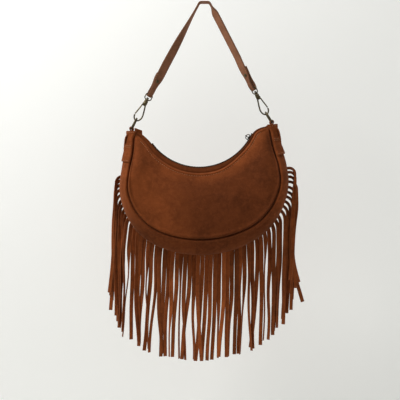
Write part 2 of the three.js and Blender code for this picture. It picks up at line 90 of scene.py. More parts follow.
ZIP_CORNER = (114, -20)
SLIDER_LENGTH = 10.5
TEETH_HALF_GAP = 0.7
TEETH_WIDTH = 2
TEETH_HEIGHT = 2.4
FACING_WIDTH = 10
SUEDE_THICKNESS = 2.2
SEAM_HALF = [
    (118, -28), (121.5, -60), (129, -96), (129.5, -128), (115, -163), (88, -190), (47, -207)
]
SEAM_LOWEST = -213
FRINGE_TOP = -94
STRIP_PITCH = 7
STRIP_LENGTHS = (215, 226)
STRIP_LAYER = 1.9
STRIP_HOLD = {"left": 10.5, "right": 17.5}
STRIP_TURN = 52 * DEGREE
PANEL_SWELL = {-1: 14, 1: 6}
STITCH_INSET = 5.2
END_TAB_HEIGHT = 7
SIDES = ((-1, "left"), (1, "right"))
FACES = ((-1, "front"), (1, "back"))

# ---------------------------------------------------------------- the studio, in metres

FLOOR_LEVEL = -0.95
BACKDROP_AT = 0.27
CAMERA_AT = (-0.0079, -1.653, -0.3444)
CAMERA_LENS = 85
WORLD_LIGHT = 0.24
# Each lamp's name, place, target, size and share of the main lamp's power.
LAMPS = (
    ("main_lamp", (-0.9, -0.55, 0.75), (-0.05, 0, -0.3), 0.55, 1.0),
    ("side_lamp", (1.3, -0.9, 0.6), (0, 0, -0.35), 0.9, 0.13),
    ("rear_lamp", (0.2, 0.2, 0.9), (0, 0.02, -0.35), 0.3, 0.12),
)


def mix(a, b, share):
    return a + (b - a) * share


def ease(value, low, high):
    share = min(1.0, max(0.0, (value - low) / (high - low)))
    return share * share * (3 - 2 * share)


def hump(value, middle, width):
    return math.exp(-(((value - middle) / width) ** 2))


def ripple(point, size, seed=0.0):
    """A smooth unevenness between about -1 and 1, with waves of roughly that size."""
    return noise.noise(Vector(point) / size + Vector((seed, seed * 1.7, -seed)))


# ---------------------------------------------------------------- lines


def smooth_line(points, steps=40):
    """Many points of a smooth curve that passes through each of the given ones."""
    line = []
    last = len(points) - 1
    for i in range(last):
        before, here = points[max(i - 1, 0)], points[i]
        there, after = points[i + 1], points[min(i + 2, last)]
        leave, arrive = (there - before) * 0.5, (after - here) * 0.5
        for j in range(steps):
            t = j / steps
            line.append(
                (here * 2 - there * 2 + leave + arrive) * t**3
                + (there * 3 - here * 3 - leave * 2 - arrive) * t**2
                + leave * t
                + here
            )
    line.append(points[-1].copy())
    return line


def bezier(a, b, c, d, steps=24):
    return [
        a * (1 - t) ** 3 + b * 3 * t * (1 - t) ** 2 + c * 3 * t * t * (1 - t) + d * t**3
        for t in (i / steps for i in range(steps + 1))
    ]


def arc(centre, radius, start, end, steps=24):
    return [
        Vector((centre[0] + radius * math.cos(a), centre[1] + radius * math.sin(a)))
        for a in (mix(start, end, i / steps) for i in range(steps + 1))
    ]


class Track:
    """A line through many points, read by its own length from 0 at its start to 1 at its end."""

    def __init__(self, points):
        self.points = [points[0]]
        self.run = [0.0]
        for point in points[1:]:
            step = (point - self.points[-1]).length
            if step > 1e-6:
                self.points.append(point)
                self.run.append(self.run[-1] + step)
        self.length = self.run[-1]

    def at(self, share):
        target = min(max(share, 0.0), 1.0) * self.length
        i = min(max(bisect_right(self.run, target) - 1, 0), len(self.run) - 2)
        rest = (target - self.run[i]) / (self.run[i + 1] - self.run[i])
        return self.points[i].lerp(self.points[i + 1], rest)

    def heading(self, share):
        step = 1.5 / self.length
        return (self.at(share + step) - self.at(share - step)).normalized()


# ---------------------------------------------------------------- where the strap runs


def leg_point(leg, down, out):
    """The strap's centre line, its width direction, the way it faces and the way it runs."""
    side, lean = leg["side"], leg["lean"]
    crown = Vector((
        side * (CROWN_FLAT / 2 + CROWN_RADIUS * math.cos(lean)),
        0,
        STRAP_THICKNESS / 2 - CROWN_RADIUS + CROWN_RADIUS * math.sin(lean),
    ))
    along = Vector((side * math.sin(lean), 0, -math.cos(lean)))
    outward = Vector((side * math.cos(lean), 0, math.sin(lean)))
    turn = leg["twist"] * ease(down, 4, leg["twist_end"] * (leg["length"] - 60))
    facing = outward * math.cos(turn) + Vector((0, math.sin(turn), 0))
    width = Vector((0, math.cos(turn), 0)) - outward * math.sin(turn)
    return crown + along * down + facing * out, width, facing, along


def leg_stations(leg):
    layer = STRAP_THICKNESS / 2 + SEAM_GAP
    bottom = EYE_BAR + 3 * SEAM_GAP + STRAP_THICKNESS / 2
    eye = leg["length"]
    outline = smooth_line([
        Vector(p) for p in (
            (eye - 60, 0), (eye - 50, -0.6 * layer), (eye - 40, -layer), (eye - 26, -layer),
            (eye - 14, -0.8 * LOOP_RADIUS), (eye - 5, -LOOP_RADIUS),
            (eye + 1.6, -0.66 * LOOP_RADIUS), (eye + bottom, 0),
            (eye + 1.6, 0.66 * LOOP_RADIUS), (eye - 5, LOOP_RADIUS), (eye - 14, 0.8 * LOOP_RADIUS),
            (eye - 26, layer), (eye - FOLD_LENGTH, layer),
        )
    ], 9)
    straight = 48
    places = [((i / straight) * (eye - 60), 0) for i in range(straight)]
    places += [(p.x, p.y) for p in outline]
    stations = []
    for down, out in places:
        centre, width, _, _ = leg_point(leg, down, out)
        narrow = ease(down, eye - 34, eye - 12)
        stations.append((centre, width * mix(STRAP_WIDTH, STRAP_END_WIDTH, narrow)))
    return stations


def bend_stations(leg, steps=9):
    stations = []
    for i in range(1, steps):
        angle = (i / steps) * (math.pi / 2 - leg["lean"])
        stations.append((
            Vector((
                leg["side"] * (CROWN_FLAT / 2 + CROWN_RADIUS * math.sin(angle)),
                0,
                STRAP_THICKNESS / 2 - CROWN_RADIUS + CROWN_RADIUS * math.cos(angle),
            )),
            Vector((0, STRAP_WIDTH, 0)),
        ))
    return stations


def clip_place(side):
    """The frame of a swivel clip: x outwards, z up its strap leg, from the eye's top bar."""
    leg = LEGS[side]
    centre, _, facing, along = leg_point(leg, leg["length"], 0)
    outward = Vector((leg["side"] * math.cos(leg["lean"]), 0, math.sin(leg["lean"])))
    up = -along
    plane = up.cross(outward)
    place = Matrix((outward, plane, up)).transposed().to_4x4()
    place.translation = centre
    turn = math.atan2(facing.dot(plane), facing.dot(outward)) + math.pi / 2
    return place, turn


# ---------------------------------------------------------------- where the bag's surfaces lie


def hook_point(leg):
    centre, _, _, along = leg_point(leg, leg["length"], 0)
    return centre + along * HOOK_REACH


LEFT_HOOK, RIGHT_HOOK = hook_point(LEGS["left"]), hook_point(LEGS["right"])
TILT = math.atan2(RIGHT_HOOK.z - LEFT_HOOK.z, RIGHT_HOOK.x - LEFT_HOOK.x)
BAG = Matrix.Translation(LEFT_HOOK.lerp(RIGHT_HOOK, 0.5)) @ Matrix.Rotation(-TILT, 4, "Y")


def hang(u, y, w):
    """A point of the bag, u to the right and w up from the middle between its hooks."""
    return BAG @ Vector((u - 0.03 * max(0, -90 - w), y, w))


SEAM = Track(smooth_line(
    [Vector((-u, w)) for u, w in SEAM_HALF]
    + [Vector((0, SEAM_LOWEST))]
    + [Vector((u, w)) for u, w in reversed(SEAM_HALF)],
    60,
))


def seam_at(share):
    tangent = SEAM.heading(share)
    return SEAM.at(share), Vector((tangent.y, -tangent.x))


def seam_share(w, side):
    """Where the seam is at height w on the left (-1) or right (1)."""
    low, high = (0.0, 0.5) if side < 0 else (1.0, 0.5)
    for _ in range(40):
        middle = (low + high) / 2
        low, high = (middle, high) if SEAM.at(middle).y > w else (low, middle)
    return (low + high) / 2


def zip_arc(angle, extra=0.0):
    return Vector((
        ZIP_CENTRE[0] + ZIP_RADIUS * math.sin(angle) + extra * math.cos(angle),
        ZIP_CENTRE[1] - ZIP_RADIUS * math.cos(angle) + extra * math.sin(angle),
    ))


CORNER_LEFT = Vector((-ZIP_CORNER[0], ZIP_CORNER[1]))
CORNER_RIGHT = Vector(ZIP_CORNER)
RIDGE = Track(
    bezier(
        CORNER_LEFT, CORNER_LEFT + Vector((9, -1.5)), zip_arc(ZIP_LEFT, -10), zip_arc(ZIP_LEFT), 60
    )
    + [zip_arc(mix(ZIP_LEFT, ZIP_RIGHT, i / 240)) for i in range(241)]
    + bezier(
        zip_arc(ZIP_RIGHT), zip_arc(ZIP_RIGHT, 10), CORNER_RIGHT + Vector((-9, -1.5)),
        CORNER_RIGHT, 60,
    )
)


def ridge_point(share, across, rise):
    point, tangent = RIDGE.at(share), RIDGE.heading(share)
    return hang(point.x - tangent.y * rise, across, point.y + tangent.x * rise)


def depth_at(w):
    return mix(18, 60, ease(-w, 20, 125))


def front_depth(w):
    """How far the front seam stands before the hanging plane; it sags in at its foot."""
    return mix(0.5, 0.69, ease(-w, 30, 110)) * depth_at(w) * (1 - 0.17 * ease(-w, 110, 213))


def back_depth(w):
    return (1 - mix(0.5, 0.69, ease(-w, 30, 110))) * depth_at(w)


def gusset_swell(w):
    low = min(1.0, max(0.0, (-w - 90) / 123))
    return 12 + 4 * ease(-w, 20, 75) + 12 * low * low


def middling(share, power=0.5):
    """1 over the middle of the bag and 0 at its two corners."""
    return max(0.0, math.sin(math.pi * min(1.0, max(0.0, share)))) ** power


def facing_drop(share):
    """How far below the zip the panels begin; they close up towards the right-hand end."""
    return FACING_WIDTH * mix(0.45, 1, middling(share)) * (1 - 0.5 * ease(share, 0.56, 0.76))


def facing_spread(share):
    return mix(8, 10.5, middling(share)) - 1.2 * ease(share, 0.56, 0.76)


def panel_point(side, share, down):
    """The outside of the front (-1) or back (1) panel; down runs from the zip to the seam."""
    top = ridge_point(share, 0, -facing_drop(share) - SEAM_GAP)
    point, outward = seam_at(share)
    low = hang(point.x - outward.x * SEAM_GAP, 0, point.y - outward.y * SEAM_GAP)
    height = (low - top).length
    depth = front_depth if side < 0 else back_depth
    crown = math.sin(math.pi * down) * middling(share, 0.7)
    reach = mix(facing_spread(share), depth(point.y), down) + PANEL_SWELL[side] * crown
    flat = top.lerp(low, down)
    from_top, from_seam = down * height, (1 - down) * height
    roomy = ease(height, 6, 40)
    clear = ease(from_top, 3, 22) * ease(from_seam, 3, 22)
    reach += roomy * (2.3 * hump(from_seam, 4.2, 3.0) + 1.7 * hump(from_top, 2.4, 2.1))
    reach -= roomy * 0.7 * hump(from_top, 5.2, 1.1)
    reach -= 3.0 * hump(from_seam, 0, 1.4)
    reach += clear * (2.2 * ripple(flat, 58, side) + 0.7 * ripple(flat, 23, side + 3))
    return Vector((flat.x, side * reach, flat.z))


def gusset_point(share, round_, lift=0.0):
    """The outside of the gusset; round_ runs from the front seam over its swell to the back."""
    point, outward = seam_at(share)
    front, back = front_depth(point.y), back_depth(point.y)
    half, swell = (front + back) / 2, gusset_swell(point.y)
    to_seam = min(round_, 1 - round_) * math.pi * swell
    lift += 1.7 * hump(to_seam, 3.6, 2.6) - 3.0 * hump(to_seam, 0, 1.4)
    loose = ease(to_seam, 4, 16)
    spot = hang(point.x, 40 * round_, point.y)
    lift += loose * (0.7 * ripple(spot, 34, 5) + 0.3 * ripple(spot, 12, 8))
    out = (swell + lift) * math.sin(math.pi * round_)
    across = (back - front) / 2 - (half + lift) * math.cos(math.pi * round_)
    return hang(point.x + outward.x * out, across, point.y + outward.y * out)


def normal_of(surface, a, b, step=2e-3):
    """The way out of a surface(a, b), by its two slopes."""
    across = surface(a + step, b) - surface(a - step, b)
    down = surface(a, b + step) - surface(a, b - step)
    return across.cross(down).normalized()


BAG_MIDDLE = hang(0, 0, -115)
ZIP_AXIS = hang(ZIP_CENTRE[0], 0, ZIP_CENTRE[1])


# ---------------------------------------------------------------- meshes


def add_sheet(bm, steps, place):
    """Lays a grid over place(along, across), both from 0 to 1, and returns its vertices."""
    made = bmesh.ops.create_grid(
        bm, x_segments=steps[0], y_segments=steps[1], size=0.5, calc_uvs=True
    )["verts"]
    for vert in made:
        vert.co = place(vert.co.x + 0.5, vert.co.y + 0.5)
    return made


def new_cloth():
    bm = bmesh.new()
    bm.loops.layers.uv.new("UVMap")
    bm.verts.layers.float.new("edge")
    bm.verts.layers.float.new("tone")
    return bm


def round_edges(bm, edges, offset, segments):
    bmesh.ops.bevel(
        bm, geom=edges, offset=offset, offset_type="OFFSET", segments=segments, profile=0.5,
        affect="EDGES", material=-1, clamp_overlap=True,
    )


def thicken(bm, thickness, centre=None, middle=False, rim=0.3, segments=2):
    """Gives laid sheets their thickness and rounds their cut edges, marking them for wear."""
    bm.normal_update()
    if centre is not None:
        facing = sum(f.normal.dot(f.calc_center_median() - centre) for f in bm.faces)
        if facing < 0:
            bmesh.ops.reverse_faces(bm, faces=bm.faces[:])
            bm.normal_update()
    if middle:
        for vert in bm.verts:
            vert.co += vert.normal * (thickness / 2)
    bmesh.ops.solidify(bm, geom=bm.faces[:], thickness=thickness)
    bm.normal_update()
    sharp = [e for e in bm.edges if e.is_manifold and e.calc_face_angle() > 60 * DEGREE]
    worn = bm.verts.layers.float["edge"]
    for edge in sharp:
        for vert in edge.verts:
            vert[worn] = 1.0
    round_edges(bm, sharp, thickness * rim, segments)


def add_wire(bm, points, radius, sides=14, closed=False):
    """Bends a round wire along the points: a ring of vertices at each, bridged to the next."""
    count = len(points)
    radii = radius if isinstance(radius, list) else [radius] * count
    heading = (points[1] - points[0]).normalized()
    guide = heading.orthogonal().normalized()
    rings = []
    for i, point in enumerate(points):
        if closed:
            heading = (points[(i + 1) % count] - points[i - 1]).normalized()
        else:
            heading = (points[min(i + 1, count - 1)] - points[max(i - 1, 0)]).normalized()
        guide = (guide - heading * guide.dot(heading)).normalized()
        place = Matrix((guide, heading.cross(guide), heading)).transposed().to_4x4()
        place.translation = point
        ring = bmesh.ops.create_circle(
            bm, cap_ends=False, radius=radii[i], segments=sides, matrix=place
        )["verts"]
        rings.append(list({e for v in ring for e in v.link_edges}))
    pairs = list(zip(rings, rings[1:]))
    if closed:
        pairs.append((rings[-1], rings[0]))
    for one, other in pairs:
        bmesh.ops.bridge_loops(bm, edges=one + other)
    if not closed:
        bmesh.ops.holes_fill(bm, edges=rings[0] + rings[-1], sides=0)


def add_turned(bm, profile, steps=28, place=Matrix()):
    """Spins a profile of (radius, height) round Z. Its ends lie on the axis."""
    verts = [bm.verts.new((radius, 0, height)) for radius, height in profile]
    edges = [bm.edges.new(pair) for pair in zip(verts, verts[1:])]
    bmesh.ops.spin(
        bm, geom=verts + edges, cent=(0, 0, 0), axis=(0, 0, 1), angle=2 * math.pi,
        steps=steps, use_merge=True,
    )
    whole = set(verts)
    for vert in list(whole):
        stack = [vert]
        while stack:
            for edge in stack.pop().link_edges:
                for end in edge.verts:
                    if end not in whole:
                        whole.add(end)
                        stack.append(end)
    whole = list(whole)
    bmesh.ops.transform(bm, matrix=place, verts=whole)
    bmesh.ops.remove_doubles(bm, verts=whole, dist=1e-4)


def add_block(bm, size, centre, rounding, place, segments=2):
    """A block with rounded edges."""
    made = bmesh.ops.create_cube(
        bm, size=1, matrix=place @ Matrix.Translation(centre) @ Matrix.Diagonal((*size, 1))
    )["verts"]
    round_edges(bm, list({e for v in made for e in v.link_edges}), rounding, segments)


def add_stitches(bm, lie, first, last, pitch):
    """Lays thread stitches along lie(share), which gives a point and the way out of the suede."""
    thread = settings().thread_thickness / MM
    samples = [lie(mix(first, last, i / 120))[0] for i in range(121)]
    length = sum((b - a).length for a, b in zip(samples, samples[1:]))
    count = max(1, int(length / pitch))
    for i in range(count):
        share = mix(first, last, (i + 0.5) / count)
        point, out = lie(share)
        ahead = (lie(share + (last - first) * 1e-3)[0] - point).normalized()
        side = out.cross(ahead).normalized()
        place = Matrix((side, ahead.cross(side), ahead)).transposed().to_4x4()
        place.translation = point
        bmesh.ops.create_uvsphere(
            bm, u_segments=6, v_segments=4, radius=1,
            matrix=place @ Matrix.Diagonal((thread / 2, thread / 2.4, pitch * 0.36, 1)),
        )


def finish_piece(bm, name, material, body, replaces=(), tidy=False):
    """Turns a mesh in millimetres into a smooth-shaded piece that rides on its body."""
    if tidy:
        bmesh.ops.recalc_face_normals(bm, faces=bm.faces[:])
    bmesh.ops.scale(bm, vec=(MM, MM, MM), verts=bm.verts[:])
    if name in replaces:
        name = f"fine_{name}"
    mesh = bpy.data.meshes.new(name)
    bm.to_mesh(mesh)
    bm.free()
    mesh.materials.append(bpy.data.materials[material])
    mesh.polygons.foreach_set("use_smooth", [True] * len(mesh.polygons))
    piece = bpy.data.objects.new(name, mesh)
    bpy.context.scene.collection.objects.link(piece)
    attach(piece, body)
    if replaces:
        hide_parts(*replaces)
    return piece


def finish_metal(bm, name, body=None, kind="Antique brass"):
    """Finishes a metal piece, which moves by itself unless it rides on another body."""
    return finish_piece(bm, name, kind, body or name, (name,), tidy=True)


def finish_suede(bm, name, replaces=True):
    return finish_piece(bm, name, "Brown suede", "bag", (name,) if replaces else ())


def finish_stitches(bm, name):
    return finish_piece(bm, name, "Stitching thread", "bag", ())


def settings():
    return bpy.context.scene.fringed_bag


# ---------------------------------------------------------------- material groups


def add_node(tree, kind, links=None, **values):
    """Adds a node, sets its values, and fills its inputs with numbers, colours or sockets."""
    made = tree.nodes.new(kind)
    for key, value in values.items():
        setattr(made, key, value)
    for key, value in (links or {}).items():
        if isinstance(value, bpy.types.NodeSocket):
            tree.links.new(value, made.inputs[key])
        else:
            made.inputs[key].default_value = value
    return made


def blend_colours(tree, share, one, other, kind="MIX"):
    """A colour between two, or their product."""
    made = add_node(tree, "ShaderNodeMix", data_type="RGBA", blend_type=kind)
    for key, value in ((0, share), (6, one), (7, other)):
        if isinstance(value, bpy.types.NodeSocket):
            tree.links.new(value, made.inputs[key])
        else:
            made.inputs[key].default_value = value
    return made.outputs[2]


def stretch(tree, value, low, high, to_low, to_high):
    made = add_node(tree, "ShaderNodeMapRange", {
        "Value": value, "From Min": low, "From Max": high, "To Min": to_low, "To Max": to_high,
    })
    return made.outputs[0]


def grain(tree, spot, scale, detail, **more):
    """Noise over the piece's own coordinates."""
    links = {"Vector": spot, "Scale": scale, "Detail": detail} | more
    return add_node(tree, "ShaderNodeTexNoise", links).outputs[0]


def product(tree, one, other):
    made = add_node(tree, "ShaderNodeMath", {0: one, 1: other}, operation="MULTIPLY")
    return made.outputs[0]


def attribute(tree, name):
    return add_node(tree, "ShaderNodeAttribute", attribute_name=name).outputs["Fac"]


def new_group(name, inputs, outputs):
    tree = bpy.data.node_groups.new(name, "ShaderNodeTree")
    for label, kind, value in inputs:
        socket = tree.interface.new_socket(label, in_out="INPUT", socket_type=kind)
        socket.default_value = value
    for label, kind in outputs:
        tree.interface.new_socket(label, in_out="OUTPUT", socket_type=kind)
    return tree, tree.nodes.new("NodeGroupInput"), tree.nodes.new("NodeGroupOutput")


COLOUR, NUMBER = "NodeSocketColor", "NodeSocketFloat"


def build_nap_group():
    """Suede nap: broad brushed patches, finer mottling, fibres, a paler cut edge, and the vertex
    tone, which carries random tone and painted shade.
    """
    tree, given, out = new_group(
        "Suede nap",
        [
            ("Deep", COLOUR, (0.1, 0.03, 0.01, 1)), ("Brown", COLOUR, (0.2, 0.06, 0.02, 1)),
            ("Brushed", COLOUR, (0.3, 0.1, 0.03, 1)), ("Cut edge", COLOUR, (0.3, 0.1, 0.04, 1)),
            ("Patches", NUMBER, 24.0), ("Fibres", NUMBER, 900.0), ("Edge wear", NUMBER, 0.5),
        ],
        [("Color", COLOUR), ("Roughness", NUMBER), ("Height", NUMBER)],
    )
    spot = add_node(tree, "ShaderNodeTexCoord").outputs["Object"]
    patches = grain(tree, spot, given.outputs["Patches"], 3.0, Roughness=0.6)
    mottle = grain(tree, spot, 130.0, 4.0, Roughness=0.65, Distortion=0.6)
    fibres = grain(tree, spot, given.outputs["Fibres"], 3.0, Roughness=0.7)
    colour = blend_colours(
        tree, stretch(tree, patches, 0.36, 0.6, 0.0, 1.0),
        given.outputs["Deep"], given.outputs["Brown"],
    )
    colour = blend_colours(
        tree, stretch(tree, mottle, 0.42, 0.72, 0.0, 0.6), colour, given.outputs["Brushed"]
    )
    worn = product(tree, attribute(tree, "edge"), given.outputs["Edge wear"])
    colour = blend_colours(tree, worn, colour, given.outputs["Cut edge"])
    grey = add_node(tree, "ShaderNodeCombineColor", {
        i: stretch(tree, fibres, 0.3, 0.7, 0.82, 1.16) for i in range(3)
    }).outputs[0]
    colour = blend_colours(tree, 1.0, colour, grey, "MULTIPLY")
    # The 'tone' attribute darkens or lightens the colour: random tone on the fringe strips, and
    # painted shade laid on the panels, gusset, facings and fringe roots.
    tone = attribute(tree, "tone")
    tone_and_shade_factor = add_node(tree, "ShaderNodeCombineColor", {
        i: stretch(tree, tone, -1.0, 1.0, 0.4, 1.6) for i in range(3)
    }).outputs[0]
    colour = blend_colours(tree, 1.0, colour, tone_and_shade_factor, "MULTIPLY")
    height = add_node(
        tree, "ShaderNodeMath", {0: mottle, 1: 0.6, 2: fibres}, operation="MULTIPLY_ADD"
    )
    tree.links.new(colour, out.inputs["Color"])
    tree.links.new(stretch(tree, mottle, 0.3, 0.7, 0.98, 0.84), out.inputs["Roughness"])
    tree.links.new(height.outputs[0], out.inputs["Height"])


def build_patina_group():
    """Old brass: dark patina that has rubbed through to the metal in uneven spots."""
    tree, given, out = new_group(
        "Brass patina",
        [
            ("Patina", COLOUR, (0.06, 0.045, 0.03, 1)), ("Metal", COLOUR, (0.4, 0.3, 0.16, 1)),
            ("Spots", NUMBER, 260.0), ("Rubbed", NUMBER, 0.5),
        ],
        [("Color", COLOUR), ("Roughness", NUMBER), ("Height", NUMBER)],
    )
    spot = add_node(tree, "ShaderNodeTexCoord").outputs["Object"]
    spots = grain(tree, spot, given.outputs["Spots"], 4.0, Roughness=0.6)
    scratches = grain(tree, spot, 1600.0, 2.0)
    bare = product(tree, stretch(tree, spots, 0.42, 0.68, 0.0, 1.0), given.outputs["Rubbed"])
    colour = blend_colours(tree, bare, given.outputs["Patina"], given.outputs["Metal"])
    tree.links.new(colour, out.inputs["Color"])
    tree.links.new(stretch(tree, spots, 0.35, 0.7, 0.5, 0.3), out.inputs["Roughness"])
    tree.links.new(scratches, out.inputs["Height"])


def new_material(name, shader, group_name, group_values, bump, distance):
    """A Principled material whose colour, roughness and bump come from one of the groups."""
    material = bpy.data.materials.new(name)
    material.use_nodes = True
    tree = material.node_tree
    surface = tree.nodes["Principled BSDF"]
    for key, value in shader.items():
        surface.inputs[key].default_value = value
    group = tree.nodes.new("ShaderNodeGroup")
    group.node_tree = bpy.data.node_groups[group_name]
    for key, value in group_values.items():
        group.inputs[key].default_value = value
    relief = add_node(tree, "ShaderNodeBump", {
        "Strength": bump, "Distance": distance, "Height": group.outputs["Height"],
    })
    tree.links.new(group.outputs["Color"], surface.inputs["Base Color"])
    tree.links.new(group.outputs["Roughness"], surface.inputs["Roughness"])
    tree.links.new(relief.outputs[0], surface.inputs["Normal"])


def shade(colour, factor):
    return (colour[0] * factor, colour[1] * factor, colour[2] * factor, 1)


def shades(colour, deep, brushed):
    return {
        "Deep": shade(colour, deep), "Brown": shade(colour, 1.0), "Brushed": shade(colour, brushed),
    }


def build_materials():
    build_nap_group()
    build_patina_group()
    chosen = settings()
    soft = {"Metallic": 0.0, "Sheen Weight": 0.1, "Sheen Roughness": 0.4, "Specular IOR Level": 0.1}
    suede = shades(chosen.suede_colour, 0.72, 1.38) | {"Cut edge": (*chosen.cut_edge_colour, 1)}
    new_material(
        "Brown suede", soft | {"Sheen Tint": (0.75, 0.4, 0.24, 1)}, "Suede nap",
        suede | {"Patches": 22.0, "Fibres": 850.0, "Edge wear": 0.25}, 0.5, 0.0008,
    )
    new_material(
        "Fringe suede", soft | {"Sheen Tint": (0.8, 0.5, 0.34, 1)}, "Suede nap",
        suede | {"Patches": 40.0, "Fibres": 850.0, "Edge wear": 0.45}, 0.45, 0.0006,
    )
    new_material(
        "Strap leather", soft | {"Sheen Tint": (0.9, 0.75, 0.62, 1), "Specular IOR Level": 0.25},
        "Suede nap",
        shades(chosen.strap_colour, 0.75, 1.25)
        | {"Cut edge": shade(chosen.strap_colour, 0.55), "Patches": 30.0, "Fibres": 1100.0}
        | {"Edge wear": 0.6},
        0.4, 0.0006,
    )
    new_material(
        "Stitching thread", soft | {"Sheen Weight": 0.0, "Specular IOR Level": 0.3}, "Suede nap",
        shades(chosen.thread_colour, 0.8, 1.1)
        | {"Patches": 60.0, "Fibres": 2500.0, "Edge wear": 0.0},
        0.3, 0.0002,
    )
    new_material(
        "Zip tape", soft | {"Sheen Weight": 0.0}, "Suede nap",
        {
            "Deep": (0.016, 0.01, 0.007, 1), "Brown": (0.024, 0.015, 0.01, 1),
            "Brushed": (0.03, 0.02, 0.014, 1), "Patches": 80.0, "Fibres": 1800.0, "Edge wear": 0.0,
        },
        0.5, 0.0003,
    )
    metal = {"Metallic": 1.0}
    brass = chosen.brass_colour
    new_material(
        "Antique brass", metal, "Brass patina",
        {"Patina": shade(brass, 0.34), "Metal": shade(brass, 1.0), "Spots": 240.0, "Rubbed": 0.8},
        0.15, 0.0002,
    )
    new_material(
        "Dark zip metal", metal, "Brass patina",
        {"Patina": shade(brass, 0.12), "Metal": shade(brass, 0.4), "Spots": 500.0, "Rubbed": 0.5},
        0.15, 0.0002,
    )


# ---------------------------------------------------------------- suede body


def crowded(share, strength=0.85):
    """Rows of a grid gathered towards both ends, where the seams roll in."""
    return share - strength * math.sin(2 * math.pi * share) / (2 * math.pi)


def make_panel(side, name):
    bm = new_cloth()
    tone = bm.verts.layers.float["tone"]

    def place(along, down):
        return panel_point(side, along, crowded(down))

    for vert in add_sheet(bm, (250, 60), place):
        u, w = vert.co.x - BAG_MIDDLE.x, vert.co.z - BAG_MIDDLE.z
        below_zip = ease(ZIP_RADIUS - (vert.co - ZIP_AXIS).xz.length, -10, -36)
        # Painted shade: below the zip, the panel is darkened from its left third towards the right,
        # as if turned away from the main lamp.
        vert[tone] = -0.7 * ease(u + 0.15 * w, -85, -15) * below_zip
    thicken(bm, SUEDE_THICKNESS, centre=BAG_MIDDLE, rim=0.42)
    return finish_suede(bm, name)


def make_panel_stitches(side, name):
    def surface(share, down):
        return panel_point(side, share, down)

    def lie(share):
        point, _ = seam_at(share)
        top = ridge_point(share, 0, -facing_drop(share))
        height = (hang(point.x, 0, point.y) - top).length
        down = STITCH_INSET / height
        out = normal_of(surface, share, down)
        if out.y * side < 0:
            out = -out
        return surface(share, down) + out * 0.1, out

    bm = new_cloth()
    add_stitches(bm, lie, 0.06, 0.94, settings().stitch_pitch / MM)
    return finish_stitches(bm, name)


def make_gusset():
    bm = new_cloth()
    tone = bm.verts.layers.float["tone"]

    def place(along, across):
        return gusset_point(along, crowded(across))

    for vert in add_sheet(bm, (330, 64), place):
        # Painted shade: the gusset is darkened towards its foot and a little towards the right.
        foot = ease(BAG_MIDDLE.z - vert.co.z, 20, 90)
        vert[tone] = -0.6 * foot - 0.12 * ease(vert.co.x, -20, 60)
    thicken(bm, SUEDE_THICKNESS, centre=BAG_MIDDLE, rim=0.42)
    return finish_suede(bm, "gusset")


WRAPS = {"cap": (-19.5, -46, 0.9), "wrap": (-42, -75, 2.6)}
SEAM_START = SEAM_HALF[0][1]


def wrap_point(side, kind, down, round_, lift=0.0):
    """A point on the cap over the gusset's end, or on the wrap sewn round it below the tab."""
    top, end, stand = WRAPS[kind]
    w = mix(top, end, down)
    tab = (1 - ease(abs(round_ - 0.5) * 40, 5.5, 9)) * ease(w, -56, -49)
    above = max(0.0, w - SEAM_START)
    flare = ease(w, -36, -17) if kind == "cap" else 0.0
    lift += stand + 1.2 * tab + 1.6 * flare
    point = gusset_point(seam_share(min(w, SEAM_START), side), round_, lift)
    inward = 0.11 * above + 5.5 * flare * (1 - ease(min(round_, 1 - round_), 0.02, 0.3))
    return point + BAG.to_3x3() @ Vector((-side * inward, 0, above))


def make_wrap(side, word, kind):
    bm = new_cloth()

    def place(down, across):
        return wrap_point(side, kind, down, mix(0.03, 0.97, across))

    add_sheet(bm, (30, 60), place)
    thicken(bm, 1.5, centre=BAG_MIDDLE, rim=0.35)
    piece = finish_suede(bm, f"gusset_{kind}_{word}", replaces=False)
    threads = new_cloth()
    for row in ((0.12,) if kind == "cap" else (0.09, 0.18, 0.93)):
        def lie(round_, row=row):
            out = normal_of(lambda r, d: wrap_point(side, kind, d, r), round_, row, 4e-3)
            point = wrap_point(side, kind, row, round_)
            if out.dot(point - BAG_MIDDLE) < 0:
                out = -out
            return point + out * 0.15, out

        add_stitches(threads, lie, 0.07, 0.93, 3.4)
    return piece, finish_stitches(threads, f"gusset_{kind}_stitches_{word}")


def make_facing(side, name):
    def place(share, down):
        spread, drop = facing_spread(share), facing_drop(share)
        start, middle, end = (1 - down) ** 2, 2 * down * (1 - down), down**2
        across = 4.9 * start + (spread - 2.4) * middle + (spread - 4.8) * end
        rise = -1.3 * start - 0.55 * drop * middle - (drop + 3.4) * end
        return ridge_point(share, side * across, rise)

    bm = new_cloth()
    tone = bm.verts.layers.float["tone"]
    for vert in add_sheet(bm, (220, 14), place):
        # Painted shade: the facing is darkened all over, most of all just below the zip, where it
        # sinks in.
        below = (vert.co - ZIP_AXIS).xz.length - ZIP_RADIUS
        vert[tone] = -0.35 - 0.5 * (1 - ease(below, 1, 6))
    thicken(bm, 1.6, centre=BAG_MIDDLE, middle=True, rim=0.4)
    return finish_suede(bm, name)


def make_end_tab():
    layer = 1.7
    line = Track(
        [Vector((-104.5, -layer)), Vector((-115, -layer))]
        + arc((-115, 0), layer, -math.pi / 2, -1.5 * math.pi, 16)
        + [Vector((-104.5, layer))]
    )

    def place(along, up):
        point = line.at(along)
        return hang(point.x, point.y, -17.4 - 0.42 * (point.x + 115) + (up - 0.5) * END_TAB_HEIGHT)

    bm = new_cloth()
    add_sheet(bm, (60, 8), place)
    thicken(bm, 1.6, centre=hang(-110, 0, -19), middle=True, rim=0.3)
    return finish_suede(bm, "zip_end_tab")


